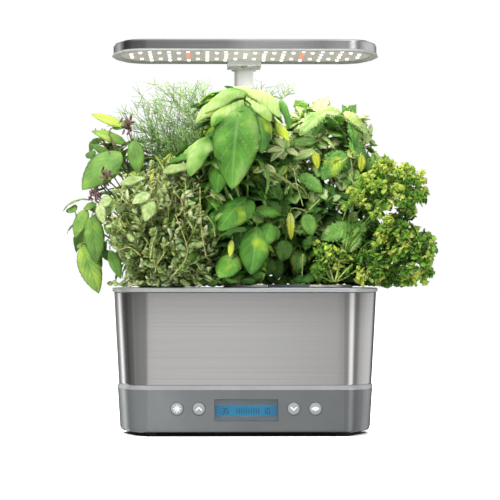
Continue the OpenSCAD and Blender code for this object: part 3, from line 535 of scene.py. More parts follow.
# The blue is lit between two heights, with soft ends, and falls off towards both sides.
LIT_FROM, LIT_TO, FALLS_OFF = (0.0196, 0.0203), (0.0316, 0.0309), (0.021, 0.031)
made, tree, shader = finish("blue_display_glow", Roughness=0.3, Emission_Strength=1.0)
axes = axes_of(tree)
lit_up = times(tree, spread(tree, axes["Z"], *LIT_FROM), spread(tree, axes["Z"], *LIT_TO))
side_fall = spread(tree, math_node(tree, "ABSOLUTE", axes["X"]), *FALLS_OFF)
blue = mixed(tree, side_fall, linear(14, 122, 158), linear(6, 84, 120))
blue = mixed(tree, times(tree, noise(tree, 900.0), 0.25), blue, linear(8, 92, 122))
feed(tree, shader, Emission_Color=mixed(tree, lit_up, linear(54, 56, 54), blue),
     Base_Color=mixed(tree, lit_up, linear(86, 92, 96), linear(20, 50, 70)))
finishes["lcd_blue"] = made


# %% LEDs
def glowing(name, rgb, strength, rim):
    """An LED lens: glowing in the middle, and less at the sides, seen through its clear dome."""
    made, tree, shader = finish(name, Roughness=0.2, Emission_Strength=strength)
    facing = add(tree, "ShaderNodeLayerWeight", {"Blend": 0.35}).outputs["Facing"]
    feed(tree, shader, Emission_Color=mixed(tree, facing, linear(*rgb), linear(*rim)),
         Base_Color=mixed(tree, noise(tree, 1500.0), linear(*rgb), linear(*rim)))
    return made


finishes["led_white"] = glowing("white_led_glow", (255, 255, 246), 1.1, (238, 240, 220))
finishes["led_colour"] = glowing("red_led_glow", (246, 108, 78), 1.0, (236, 150, 120))
# The outer pair of the coloured LEDs is a cold white with a trace of blue.
tree = finishes["led_colour"].node_tree
shader = tree.nodes["Principled BSDF"]
outer = spread(tree, math_node(tree, "ABSOLUTE", axes_of(tree)["X"]), 0.066, 0.067)
for socket in (shader.inputs["Emission Color"], shader.inputs["Base Color"]):
    put(tree, socket, mixed(tree, outer, socket.links[0].from_socket, linear(214, 220, 246)))
print("finishes:", len(finishes))

# %% [markdown]
# ## Dressing the CAD pieces
# A CAD mesh arrives as loose flat triangles with razor edges, and real mouldings have small
# radii that catch the light. The CAD mesh itself stays as it is. A copy of it is merged, its flat
# triangles are joined, it is shaded smooth up to 30 degrees, and a quarter millimetre Bevel
# rounds its edges. The copy stands where the node stood.

# %% Which finish each node has
of_slot = {part["node"]: part["material_slot"] for part in frame["record"]["subparts"]}
body_of_node = {n: o["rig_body"] for n, o in frame["nodes"].items()}


def smooth_copy(node, bevel):
    """A merged copy of a CAD node with smooth shading and small round edges."""
    mesh = frame["nodes"][node].data.copy()
    shape = bmesh.new()
    shape.from_mesh(mesh)
    bmesh.ops.remove_doubles(shape, verts=shape.verts, dist=0.000002)
    bmesh.ops.dissolve_limit(shape, angle_limit=math.radians(0.6), verts=shape.verts,
                             edges=shape.edges)
    shape.to_mesh(mesh)
    shape.free()
    mesh.name = node + "_dressed"
    mesh.polygons.foreach_set("use_smooth", np.ones(len(mesh.polygons), bool))
    mesh.set_sharp_from_angle(angle=math.radians(30))
    mesh.materials.clear()
    mesh.materials.append(finishes[of_slot[node]])
    piece = bpy.data.objects.new(node + "_dressed", mesh)
    scene.collection.objects.link(piece)
    if bevel:
        soft = piece.modifiers.new("edge", "BEVEL")
        soft.width = bevel
        soft.segments = 2
        soft.limit_method = "ANGLE"
        soft.angle_limit = math.radians(35)
        soft.harden_normals = True
    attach(piece, body_of_node[node])
    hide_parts(node)
    return piece


HERBS = ("thai_basil", "dill", "mint", "thyme", "sweet_basil", "parsley")
BARE = ("steel_wrap",) + HERBS
BEVELS = {"base_housing": 0.0005, "bowl_rim": 0.0004, "lamp_bezel": 0.0004, "lamp_shell": 0.0005,
          "lamp_mount": 0.0006, "post_collar": 0.0005, "grow_deck": 0.0003, "feet": 0.0004,
          "lcd_panel": 0.0, "display_frame": 0.0, "white_leds": 0.0, "colour_leds": 0.0,
          "power_jack": 0.0, "pump_filter": 0.0004}
dressed = {}
for node in frame["nodes"]:
    if node not in BARE:
        dressed[node] = smooth_copy(node, BEVELS.get(node, 0.0002))
dressed["lamp_bezel"].data.materials[0] = finishes["bezel"]
print("dressed CAD pieces:", len(dressed))

# %% [markdown]
# ## Making a mesh from numbers
# Every new piece is worked out with numpy as arrays of points and faces. One function puts such
# arrays into a mesh, with its texture coordinates and per-point values, and hands the piece to
# the frame.


# %% From arrays to a piece
def piece_from(name, points, faces, finish_names, which=None, body="root", stands_for=(),
               uv=None, values=None, sharp=None):
    """A mesh piece from an array of points and a list of face arrays, one array for each number
    of corners. which gives each face's finish, uv each point's place on the pattern, and values
    the named numbers that a finish reads from each point."""
    faces = [f for f in faces if len(f)]
    corners = np.concatenate([f.ravel() for f in faces]).astype(np.int32)
    sizes = np.concatenate([np.full(len(f), f.shape[1]) for f in faces])
    mesh = bpy.data.meshes.new(name)
    mesh.vertices.add(len(points))
    mesh.vertices.foreach_set("co", points.astype(np.float32).ravel())
    mesh.loops.add(len(corners))
    mesh.loops.foreach_set("vertex_index", corners)
    mesh.polygons.add(len(sizes))
    mesh.polygons.foreach_set("loop_start", (np.cumsum(sizes) - sizes).astype(np.int32))
    mesh.polygons.foreach_set("use_smooth", np.ones(len(sizes), bool))
    if which is not None:
        mesh.polygons.foreach_set("material_index", which.astype(np.int32))
    if uv is not None:
        mesh.uv_layers.new(name="UVMap").data.foreach_set(
            "uv", uv[corners].astype(np.float32).ravel())
    for label, numbers in (values or {}).items():
        mesh.attributes.new(label, "FLOAT", "POINT").data.foreach_set(
            "value", numbers.astype(np.float32))
    mesh.update(calc_edges=True)
    mesh.validate()
    if sharp:
        mesh.set_sharp_from_angle(angle=math.radians(sharp))
    for label in finish_names:
        mesh.materials.append(finishes[label])
    piece = bpy.data.objects.new(name, mesh)
    scene.collection.objects.link(piece)
    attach(piece, body)
    if stands_for:
        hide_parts(*stands_for)
    triangles = int((sizes - 2).sum())
    box = np.round(1000 * np.array([points.min(0), points.max(0)]), 1).tolist()
    print(f"{name}: {triangles} triangles, box in mm {box}")


# %% [markdown]
# ## The steel wrap
# The wrap is a strip of thin brushed steel, rolled round the bowl and leaning out a little
# towards the top. Its plan is drawn with arcs: a wide one for each end, a small one for each
# corner, and straight sides. A Screw or Array modifier can't follow such a plan, so it is worked
# out as a grid: one direction goes round the plan, and the other goes over the sheet's section,
# with rolled edges. Many points in the corners, and a row close to each edge, keep the mirrored
# stripes clean and straight.

# %% Plan of the bowl
PLAN_W, PLAN_D, CORNER_R, END_R = 0.267, 0.146, 0.028, 0.135
END_STEPS, CORNER_STEPS, SIDE_STEPS = 6, 22, 14


def plan(inset):
    """Points round the bowl's outline, pulled in by inset: over the end's wide arc, the corner's
    small arc and the straight side, mirrored into the other quarters, anticlockwise."""
    end_x = PLAN_W / 2 - END_R
    corner_y = PLAN_D / 2 - CORNER_R
    corner_x = end_x + math.sqrt((END_R - CORNER_R) ** 2 - corner_y ** 2)
    joint = math.atan2(corner_y, corner_x - end_x)
    a = np.linspace(0, joint, END_STEPS, endpoint=False)
    end = np.stack([end_x + (END_R - inset) * np.cos(a), (END_R - inset) * np.sin(a)], 1)
    b = np.linspace(joint, math.pi / 2, CORNER_STEPS)
    corner = np.stack([corner_x + (CORNER_R - inset) * np.cos(b),
                       corner_y + (CORNER_R - inset) * np.sin(b)], 1)
    x = np.linspace(corner_x, 0, SIDE_STEPS + 1)[1:]
    side = np.stack([x, np.full(len(x), PLAN_D / 2 - inset)], 1)
    quarter = np.concatenate([end, corner, side])
    half = np.concatenate([quarter, (quarter[:-1] * [-1, 1])[::-1]])
    return np.concatenate([half, (half[1:-1] * [1, -1])[::-1]])


def grid_faces(rows, columns, closed=True):
    """Faces of a grid whose columns close on themselves, and its rows too if it is closed."""
    i, j = np.meshgrid(np.arange(rows - (not closed)), np.arange(columns), indexing="ij")
    i2, j2 = (i + 1) % rows, (j + 1) % columns
    return np.stack([i * columns + j, i2 * columns + j, i2 * columns + j2,
                     i * columns + j2], -1).reshape(-1, 4)


# %% Wrap
FOOT_IN, TOP_IN, SHEET, ROLL = 0.0065, 0.0017, 0.0007, 0.0002
low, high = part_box("steel_wrap")


def up_the_sheet(t, deep=0.0):
    """Inset and z at the share t of the wrap's height, deep metres inside its outer face."""
    return (FOOT_IN + (TOP_IN - FOOT_IN) * t + deep,
            low.z + ROLL + (high.z - low.z - 2 * ROLL) * t)


section = [
    *(up_the_sheet(t) for t in (0.0, 0.01, 0.25, 0.5, 0.75, 0.99, 1.0)),
    (TOP_IN + ROLL, high.z), (TOP_IN + SHEET - ROLL, high.z),
    *(up_the_sheet(t, SHEET) for t in (1.0, 0.99, 0.5, 0.01, 0.0)),
    (FOOT_IN + SHEET - ROLL, low.z), (FOOT_IN + ROLL, low.z)]
rings = np.stack([np.insert(plan(inset), 2, z, axis=1) for inset, z in section], 1)
piece_from("steel_wrap_sheet", rings.reshape(-1, 3), [grid_faces(*rings.shape[:2])], ["steel"],
           stands_for=["steel_wrap"], sharp=50)

# %% [markdown]
# ## Marks on the display and the buttons
# The display shows dark segments on blue: two plain numbers and a row of short bars between
# them. The buttons carry a sun, two chevrons and a leaf in white. They could be drawn in the
# materials, but thin printed shapes keep sharp at any distance. Every mark is a set of strokes,
# and a stroke is a slot shape: two half circles joined by straight sides, raised a hair above
# the surface it is printed on.


# %% Strokes
def strokes(lines, radius, y_front, y_back, arc=6):
    """Raised strokes in a plane of constant y. lines is an array of x, z, x, z rows. Each outline
    goes round two half circles of that radius, and its flat front faces -y."""
    lines = np.asarray(lines, float)
    a, b = lines[:, :2], lines[:, 2:]
    along = b - a
    angle = np.arctan2(along[:, 1], along[:, 0])[:, None]
    turn_a = angle + np.linspace(math.pi / 2, 3 * math.pi / 2, arc)
    turn_b = angle + np.linspace(-math.pi / 2, math.pi / 2, arc)
    ring = np.concatenate([a[:, None] + radius * np.stack([np.cos(turn_a), np.sin(turn_a)], -1),
                           b[:, None] + radius * np.stack([np.cos(turn_b), np.sin(turn_b)], -1)],
                          1)
    n, m = ring.shape[:2]
    points = np.empty((n, 2 * m, 3))
    points[..., 0], points[..., 2] = np.tile(ring[..., 0], 2), np.tile(ring[..., 1], 2)
    points[:, :m, 1], points[:, m:, 1] = y_front, y_back
    start = (np.arange(n) * 2 * m)[:, None]
    k = np.arange(m)
    k2 = (k + 1) % m
    sides = np.stack([start + k2, start + k, start + m + k, start + m + k2], -1)
    return points.reshape(-1, 3), [np.concatenate([start + k, start + m + k[::-1]]),
                                   sides.reshape(-1, 4)]


# %% Display
SEGMENTS = {"0": "abcdef", "1": "bc", "3": "abcdg", "5": "acdfg"}
NUMBER_Z, HALF_W, HALF_H, LEAN, GAP = 0.0252, 0.0012, 0.0027, 0.08, 0.12


def digit(character, x):
    """The lit bars of a seven-segment number, as stroke rows, with a gap at each bar's ends."""
    w, h = HALF_W, HALF_H
    bars = {"a": (-w, h, w, h), "b": (w, 0, w, h), "c": (w, -h, w, 0), "d": (-w, -h, w, -h),
            "e": (-w, -h, -w, 0), "f": (-w, 0, -w, h), "g": (-w, 0, w, 0)}
    rows = []
    for s in SEGMENTS[character]:
        x1, z1, x2, z2 = bars[s]
        x1, z1, x2, z2 = (x1 + (x2 - x1) * GAP, z1 + (z2 - z1) * GAP,
                          x2 - (x2 - x1) * GAP, z2 - (z2 - z1) * GAP)
        rows.append((x + x1 + LEAN * z1, NUMBER_Z + z1, x + x2 + LEAN * z2, NUMBER_Z + z2))
    return rows


glass_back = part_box("lcd_panel")[0].y
rows = sum((digit(c, x) for c, x in (
    ("3", -0.0224), ("5", -0.0186), ("1", 0.0176), ("0", 0.0218))), [])
bar_low, bar_high, bar_r = 0.0230, 0.0274, 0.00034
rows += [(x, bar_low, x, bar_high) for x in np.linspace(-0.0092, 0.0122, 10)]
points, faces = strokes(rows, bar_r, glass_back - 0.00006, glass_back + 0.00002)
piece_from("display_numbers", points, faces, ["lcd_ink"], sharp=30)


# %% Button icons
def middle_of(node):
    """The middle of a node's box."""
    low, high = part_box(node)
    return (np.array(low) + np.array(high)) / 2


key_y, z0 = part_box("light_button")[0].y, middle_of("light_button")[2]
sun_x, up_x, down_x, leaf_x = (middle_of(node)[0] for node in (
    "light_button", "up_button", "down_button", "feed_button"))


def chevron(x, way):
    """Two strokes that meet at x, and point up where way is 1 and down where it is -1."""
    foot, tip = z0 - 0.0014 * way, z0 + 0.0013 * way
    return [(x - 0.0027, foot, x, tip), (x, tip, x + 0.0027, foot)]


sun = [(sun_x + 0.0021 * math.cos(t), z0 + 0.0021 * math.sin(t),
        sun_x + 0.0037 * math.cos(t), z0 + 0.0037 * math.sin(t))
       for t in np.linspace(0, 2 * math.pi, 8, endpoint=False)]
core = [(sun_x - 0.0001, z0, sun_x + 0.0001, z0)]
t = np.linspace(0, 1, 9)
blade_x, rise = leaf_x - 0.003 + 0.006 * t, 0.0014 * np.sin(math.pi * t)
leaf = [(blade_x[k], z0 + way * rise[k], blade_x[k + 1], z0 + way * rise[k + 1])
        for way in (1, -1) for k in range(8)]
leaf += [(leaf_x - 0.0036, z0 - 0.0003, leaf_x + 0.0012, z0 + 0.0002)]
for name, body, marks, width in (("sun_icon", "light_key", sun, 0.00042),
                                 ("sun_core_icon", "light_key", core, 0.0017),
                                 ("up_icon", "up_key", chevron(up_x, 1), 0.0006),
                                 ("down_icon", "down_key", chevron(down_x, -1), 0.0006),
                                 ("leaf_icon", "feed_key", leaf, 0.0006)):
    # Strokes that cross lie a few micrometres apart, so that no two faces share a plane.
    lift = 0.00001 * (1 + (name == "sun_icon"))
    front = key_y - 0.00008 - lift - 0.000003 * np.arange(len(marks))[:, None]
    points, faces = strokes(marks, width, front, key_y + 0.00004)
    piece_from(name, points, faces, ["white_print"], body=body, sharp=30)

# %% [markdown]
# ## Contact pin of the power inlet
# A barrel jack has a round pin in the middle of its bore. The CAD bore stays free for the plug's
# gauge, so the pin is dressed in here: a turned profile with a dome on its tip, carried round
# the bore's axis.


# %% Turned pieces
def turned(profile, middle, sides=20):
    """A profile of (radius, y) pairs carried round the y axis through middle, closed by a point
    at each end of the profile."""
    n, profile = len(profile), np.array(profile)
    a = np.linspace(0, 2 * math.pi, sides, endpoint=False)
    ring = np.stack([profile[:, :1] * np.cos(a), np.broadcast_to(profile[:, 1:], (n, sides)),
                     profile[:, :1] * np.sin(a)], -1)
    points = np.concatenate([ring.reshape(-1, 3), [[0, profile[0, 1], 0], [0, profile[-1, 1], 0]]])
    k = np.arange(sides)
    k2 = (k + 1) % sides
    first = np.stack([np.full(sides, n * sides), k, k2], 1)
    last = np.stack([np.full(sides, n * sides + 1), (n - 1) * sides + k2, (n - 1) * sides + k], 1)
    return points + middle, [grid_faces(n, sides, closed=False), np.concatenate([first, last])]


inner_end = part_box("power_jack")[1].y - 0.0096
pin = [(0.0009, inner_end), (0.0009, inner_end + 0.0065), (0.00075, inner_end + 0.0071),
       (0.0004, inner_end + 0.0074)]
points, faces = turned(pin, middle_of("power_jack") * [1, 0, 1])
piece_from("inlet_contact_pin", points, faces, ["steel_screw"], sharp=40)

# %% [markdown]
# ## Leaves
# A basil leaf, a thyme leaf and a frill of parsley are the same thing with other numbers: a
# blade that widens from its stalk, narrows to its tip, hangs down in an arc and waves at its
# edges. Leaves are often painted on flat cards that are cut out, but cards look flat from the
# side. Here one function works out thousands of real blades at once. Each has a top and an
# underside that meet at the rim, so it is closed, and the shape is a formula of two numbers:
# u along the midrib and v across it.


# %% Vector helpers
def unit(v):
    """Vectors divided by their length."""
    return v / np.maximum(np.linalg.norm(v, axis=-1, keepdims=True), 1e-12)


def square_up(up, along):
    """The part of up that stands at right angles to along, with length 1."""
    return unit(up - (up * along).sum(-1, keepdims=True) * along)


def per_leaf(value, count):
    """One number per leaf, shaped so that it multiplies a grid of points."""
    return np.broadcast_to(np.asarray(value, float), (count,))[:, None, None]


# %% Faces of a blade
def blade_faces(rows, columns):
    """Faces of one blade of rows by columns cells. Points: 0 the stalk end, 1 the tip, then the
    top grid, then the underside without its rim, which it shares with the top."""
    r, c = rows - 1, columns + 1
    top = 2 + np.arange(r * c).reshape(r, c)
    low = top.copy()
    low[:, 1:-1] = 2 + r * c + np.arange(r * (c - 2)).reshape(r, c - 2)

    def sheet(g):
        quads = np.stack([g[:-1, :-1], g[:-1, 1:], g[1:, 1:], g[1:, :-1]], -1).reshape(-1, 4)
        first = np.stack([np.zeros(c - 1, int), g[0, 1:], g[0, :-1]], 1)
        last = np.stack([g[-1, :-1], g[-1, 1:], np.ones(c - 1, int)], 1)
        return quads, np.concatenate([first, last])

    return [np.concatenate([over, under[:, ::-1]]) for over, under in zip(sheet(top), sheet(low))]


# %% Blades
def blades(base, along, up, length, width, tint, rows=8, columns=4, belly=0.4, tip=1.0,
           droop=0.8, fold=0.15, curl=0.3, wave=0.03, waves=2.0, teeth=0.0, twist=0.0,
           quilt=0.0, ruffle=0.0, ruffles=3.0, thick=0.00035, seed=0):
    """Many blades at once. The midrib is an arc of a circle that starts along and bends by droop
    away from up. Its half width is (u / belly)^a ((1 - u) / (1 - belly))^tip, with a chosen so
    that it is widest at belly. Across it, the height is fold times |v|, less curl times v
    squared, with a wave at the rim, a pillow between side veins and a ruffle that grows along
    u. teeth widens every other row. The underside lies thick below and meets the rim."""
    n = len(base)
    rng = np.random.default_rng(seed)
    phase = per_leaf(rng.uniform(0, 2 * math.pi, n), n)
    u = np.linspace(0, 1, rows + 1)[None, :, None]
    v = np.linspace(-1, 1, columns + 1)[None, None, :]
    along, up = unit(along), square_up(up, unit(along))
    side = np.cross(along, up)
    length, width = per_leaf(length, n), per_leaf(width, n)
    droop = per_leaf(droop, n)
    droop = np.where(np.abs(droop) < 0.01, 0.01, droop)
    turn_u = droop * u
    e, s, w = (x[:, None, None, :] for x in (along, side, up))
    middle = (base[:, None, None, :] + (length * np.sin(turn_u) / droop)[..., None] * e
              - (length * (1 - np.cos(turn_u)) / droop)[..., None] * w)
    normal = np.sin(turn_u)[..., None] * e + np.cos(turn_u)[..., None] * w
    roll = per_leaf(twist, n) * u
    across = np.cos(roll)[..., None] * s + np.sin(roll)[..., None] * normal
    normal = np.cos(roll)[..., None] * normal - np.sin(roll)[..., None] * s
    a = tip * belly / (1 - belly)
    half = width / 2 * (u / belly) ** a * ((1 - u) / (1 - belly)) ** tip
    zigzag = np.where(np.arange(rows + 1) % 2, 1.0, -1.0)[None, :, None]
    x = v * half * (1 + teeth * zigzag * v ** 4)
    h = half * (per_leaf(fold, n) * np.sqrt(v ** 2 + 0.004) - per_leaf(curl, n) * v ** 2)
    h = h + per_leaf(wave, n) * length * v ** 2 * np.sin(math.pi * u) * np.sin(
        2 * math.pi * waves * u + phase + 0.9 * np.sign(v))
    h = h + quilt * half * np.abs(v) * (1 - np.abs(v)) * 4 * np.sin(
        math.pi * 6 * (u - 0.3 * np.abs(v))) ** 2
    h = h + per_leaf(ruffle, n) * length * u * np.sin(math.pi * ruffles * v + phase)
    grid = middle + across * x[..., None] + normal * h[..., None]
    top = grid[:, 1:-1]
    sink = thick * np.sqrt(np.maximum(1 - v ** 2, 0))
    low = (grid - normal * sink[..., None])[:, 1:-1, 1:-1]
    points = np.concatenate([grid[:, 0, :1], grid[:, -1, :1], top.reshape(n, -1, 3),
                             low.reshape(n, -1, 3)], 1)
    uv_grid = np.stack(np.broadcast_arrays(u[0], (v[0] + 1) / 2), -1)
    uv = np.concatenate([[[0, 0.5], [1, 0.5]], uv_grid[1:-1].reshape(-1, 2),
                         uv_grid[1:-1, 1:-1].reshape(-1, 2)])
    under = np.zeros(points.shape[1])
    under[2 + top.shape[1] * top.shape[2]:] = 1
    quads, tris = blade_faces(rows, columns)
    return {"points": points, "quads": quads, "tris": tris, "uv": uv, "under": under,
            "tint": np.broadcast_to(np.asarray(tint, float), (n,)), "finish": 0}


# %% [markdown]
# ## Stems
# A stem is a tube along a curve, thinner towards its end. Blender's curves could do this, but a
# herb has thousands of stems, so they are worked out as rings of points round each path, all
# paths at once, with a point that closes each end.


# %% Tubes
def tubes(paths, radii, tint=0.5, sides=4, which=1):
    """Tubes along many paths of equal point count. Each ring stands across its path, on two
    directions at right angles to the path's own, and each end is closed by a point. radii is
    the first and the last radius, or one for each point."""
    n, m = paths.shape[:2]
    radii = np.linspace(*radii, m) if len(radii) == 2 else np.array(radii)
    heading = unit(np.gradient(paths, axis=1))
    aside = np.eye(3)[np.argmin(np.abs(heading.mean(1)), -1)][:, None, :]
    e1 = unit(np.cross(heading, aside))
    e2 = np.cross(heading, e1)
    a = np.linspace(0, 2 * math.pi, sides, endpoint=False)[:, None]
    ring = (paths[:, :, None, :] + radii[:, None, None] * (
        np.cos(a) * e1[:, :, None, :] + np.sin(a) * e2[:, :, None, :]))
    points = np.concatenate([paths[:, :1], paths[:, -1:], ring.reshape(n, -1, 3)], 1)
    k = 2 + np.arange(sides)
    k2 = np.roll(k, -1)
    first = np.stack([np.zeros(sides, int), k2, k], 1)
    last = np.stack([np.ones(sides, int), (m - 1) * sides + k, (m - 1) * sides + k2], 1)
    uv = np.zeros((points.shape[1], 2))
    uv[2:, 0] = np.repeat(np.linspace(0, 1, m), sides)
    uv[2:, 1] = np.tile(np.linspace(0, 1, sides), m)
    return {"points": points, "quads": 2 + grid_faces(m, sides, closed=False)[:, [0, 3, 2, 1]],
            "tris": np.concatenate([first, last]), "uv": uv,
            "under": np.zeros(points.shape[1]),
            "tint": np.broadcast_to(np.asarray(tint, float), (n,)), "finish": which}


# %% Room for the lid, the post, the lamp and the bowl
ROOM_X, ROOM_Y, ROOM_Z = 0.193, 0.109, 0.3585
POST_X, POST_Y = 0.0165, 0.0715
LID_X, LID_Y, LID_Z = (0.0215, 0.0625), (-0.068, -0.0315), 0.1745
RIM_X, RIM_Y = 0.1352, 0.0745
label_low, label_high = (np.array(corner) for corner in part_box("pod_label_6"))
POD = np.abs(label_low + label_high) / 2
POD_R = (label_high - label_low)[0] / 2 + 0.0014
DECK_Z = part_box("bowl_rim")[1].z + 0.0002


def resting_height(points):
    """How low a leaf may hang over the deck: to a pod's label near a pod, else to the plate."""
    across = np.abs(points[..., 0] - POD[0] * np.round(points[..., 0] / POD[0]))
    along = np.abs(np.abs(points[..., 1]) - POD[1])
    return np.where(np.hypot(across, along) < POD_R, label_high[2], DECK_Z) + 0.0003


def clear_of_garden(points):
    """Which blades or stems, as rows of points, touch nothing of the garden: the lid's swing, the
    post, the lamp, the rim and the deck, and stay inside the garden's box."""
    x, y, z = points[..., 0], points[..., 1], points[..., 2]
    bad = (np.abs(x) > ROOM_X) | (np.abs(y) > ROOM_Y) | (z > ROOM_Z)
    bad |= (np.abs(x) < POST_X) & (y > POST_Y)
    bad |= (x > LID_X[0]) & (x < LID_X[1]) & (y > LID_Y[0]) & (y < LID_Y[1]) & (z < LID_Z)
    bad |= (np.abs(x) < RIM_X) & (np.abs(y) < RIM_Y) & (z < resting_height(points))
    return ~bad.any(-1)


# %% Leaves that nothing hides
CELL, CELLS_FROM = 0.003, -0.22
FRONT = np.full((150, 140), np.inf)
LAST_X, LAST_Z = (count - 1 for count in FRONT.shape)


def front_cells(points):
    """Which small square of the front view each point is in."""
    return (np.clip((points[..., 0] - CELLS_FROM) / CELL, 0, LAST_X).astype(int),
            np.clip(points[..., 2] / CELL, 0, LAST_Z).astype(int))


def show(bundle):
    """Notes how near the blades of a bundle stand in each square they cover, and next to it."""
    i, k = front_cells(bundle["points"])
    for di, dk in ((0, 0), (1, 0), (-1, 0), (0, 1), (0, -1)):
        np.minimum.at(FRONT, (np.clip(i + di, 0, LAST_X), np.clip(k + dk, 0, LAST_Z)),
                      bundle["points"][..., 1])
    return {**bundle, "shown": True}


def kept(bundle):
    """Which blades are free of the garden and hide no leaf that was placed one by one."""
    points = bundle["points"]
    near = FRONT[front_cells(points)]
    hides = (np.isfinite(near) & (points[..., 1] < near + 0.001)).sum(-1) > 3
    return clear_of_garden(points) & ~hides


# %% A herb as one mesh
def join_herb(name, bundles, finish_names):
    """Puts bundles of blades and tubes into one mesh that stands for the herb's CAD node. Blades
    that would touch the garden or hide a leaf placed one by one are left out."""
    points, quads, tris, uv, under, tint, kind4, kind3 = ([] for _ in range(8))
    start = 0
    for b in bundles:
        p, tints = b["points"], b["tint"]
        if b["finish"] == 0:
            good = clear_of_garden(p) if b.get("shown") else kept(b)
            p, tints = p[good], tints[good]
        n, m = p.shape[:2]
        offset = (start + m * np.arange(n))[:, None, None]
        points.append(p.reshape(-1, 3))
        quads.append((b["quads"][None] + offset).reshape(-1, 4))
        tris.append((b["tris"][None] + offset).reshape(-1, 3))
        uv.append(np.tile(b["uv"], (n, 1)))
        under.append(np.tile(b["under"], n))
        tint.append(np.repeat(tints, m))
        kind4.append(np.full(n * len(b["quads"]), b["finish"]))
        kind3.append(np.full(n * len(b["tris"]), b["finish"]))
        start += n * m
    piece_from(name + "_plant", np.concatenate(points),
               [np.concatenate(quads), np.concatenate(tris)], finish_names,
               which=np.concatenate(kind4 + kind3), stands_for=[name],
               uv=np.concatenate(uv), values={"under": np.concatenate(under),
                                              "tint": np.concatenate(tint)})


# %% Places on a canopy
def canopy(node, count, seed, above, apart):
    """About count points on the faces of a CAD herb, with the faces' normals. Faces are drawn
    by area, points on them at random, and of those in one small cell only one is kept."""
    mesh = frame["nodes"][node].data
    mesh.calc_loop_triangles()
    corner = np.empty(3 * len(mesh.loop_triangles), np.int32)
    mesh.loop_triangles.foreach_get("vertices", corner)
    place = np.empty(3 * len(mesh.vertices), np.float32)
    mesh.vertices.foreach_get("co", place)
    a, b, c = (place.reshape(-1, 3)[corner.reshape(-1, 3)[:, k]].astype(float) for k in range(3))
    face = np.cross(b - a, c - a)
    rng = np.random.default_rng(seed)
    size = np.linalg.norm(face, axis=1) * (np.minimum(np.minimum(a, b), c)[:, 2] > above)
    pick = rng.choice(len(a), 6 * count, p=size / size.sum())
    r1, r2 = np.sqrt(rng.random(6 * count))[:, None], rng.random(6 * count)[:, None]
    spot = (1 - r1) * a[pick] + r1 * (1 - r2) * b[pick] + r1 * r2 * c[pick]
    cell = np.floor(spot / apart).astype(int)
    _, keep = np.unique(cell, axis=0, return_index=True)
    keep = rng.permutation(keep)[:count]
    return spot[keep], unit(face[pick][keep])


LEAVES_Z = 0.16


def herb_middle(node):
    """The middle of a herb's crown of leaves: halfway across its box, above the deck."""
    low, high = (np.array(c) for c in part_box(node))
    low[2] = max(low[2], LEAVES_Z)
    return (low + high) / 2


# %% Shoots
CROWN_R = (0.0015, 0.0055)


def shoot_paths(crown, targets, points, rise, wander, seed):
    """Curved paths from round a herb's crown to its targets: each starts upwards and leans out
    late, as a quadratic Bezier curve, with a small wander that is zero at both ends."""
    rng = np.random.default_rng(seed)
    n = len(targets)
    angle = np.arctan2(targets[:, 1] - crown[1], targets[:, 0] - crown[0])
    spread_r = rng.uniform(*CROWN_R, n)
    start = np.array(crown) + np.stack([spread_r * np.cos(angle), spread_r * np.sin(angle),
                                        np.zeros(n)], 1)
    bend = start + (targets - start) * np.array([0.22, 0.22, rise])
    bend = bend + rng.normal(0, wander, (n, 3)) * [1, 1, 0.3]
    t = np.linspace(0, 1, points)[None, :, None]
    path = ((1 - t) ** 2 * start[:, None] + 2 * t * (1 - t) * bend[:, None]
            + t ** 2 * targets[:, None])
    shake = rng.normal(0, wander * 0.5, (n, 1, 3)) * np.sin(2 * math.pi * t) * [1, 1, 0.3]
    return path + shake


def along_paths(paths, t):
    """Points and headings at the shares t, one row per path, read between the path's points."""
    n, m = paths.shape[:2]
    where = np.clip(np.asarray(t), 0, 1) * (m - 1)
    k = np.minimum(where.astype(int), m - 2)
    part = (where - k)[..., None]
    row = np.arange(n)[:, None]
    a, b = paths[row, k], paths[row, k + 1]
    return a + part * (b - a), unit(b - a)


def paired_leaves(paths, pairs, first, last, open_low, open_high, seed):
    """Opposite leaves on shoots: at each node two leaves on either side, and the next pair a
    quarter turn on. Returns where they start, where they point and which way is up for them,
    and the share of the way along the shoot. Young leaves near the tip are less open."""
    rng = np.random.default_rng(seed)
    n = len(paths)
    t = np.linspace(first, last, pairs)[None] + rng.uniform(-0.015, 0.015, (n, pairs))
    place, heading = along_paths(paths, t)
    aside = np.where(np.abs(heading[..., :1]) < 0.8, np.array([1.0, 0, 0]), np.array([0, 1.0, 0]))
    e1 = unit(np.cross(heading, aside))
    e2 = np.cross(heading, e1)
    turn_n = rng.uniform(0, math.pi, (n, 1)) + math.pi / 2 * np.arange(pairs)[None]
    turn_n = turn_n + rng.normal(0, 0.25, (n, pairs))
    out = []
    for flip in (0, math.pi):
        a = (turn_n + flip)[..., None]
        away = np.cos(a) * e1 + np.sin(a) * e2
        opening = (open_low + (open_high - open_low) * (t - first) / (last - first))[..., None]
        opening = opening + rng.normal(0, 0.12, opening.shape)
        along = unit(np.sin(opening) * away + np.cos(opening) * heading)
        out.append(np.stack([place, along, heading], 2))
    leaves = np.stack(out, 2).reshape(-1, 3, 3)
    share = np.repeat(t[..., None], 2, -1).reshape(-1)
    return leaves[:, 0], leaves[:, 1], leaves[:, 2], share


def cover_leaves(spots, normals, length, seed, lift=0.25, loose=0.35, reach=0.85, face=0.5):
    """Leaves that cloak a canopy: each starts inside it, points out of it by reach and up by
    lift, and shows its top side, turned out of the canopy by face."""
    rng = np.random.default_rng(seed)
    n = len(spots)
    up = np.array([0, 0, 1.0])
    out = unit(normals * [1, 1, 0.5] + [0, 0, 0.12])
    along = unit(out * reach + up * lift + rng.normal(0, loose, (n, 3)))
    base = spots - out * (0.42 * length)[:, None] + up * (0.22 * length)[:, None]
    return base, along, unit(up * 0.9 + out * face + rng.normal(0, 0.15, (n, 3)))


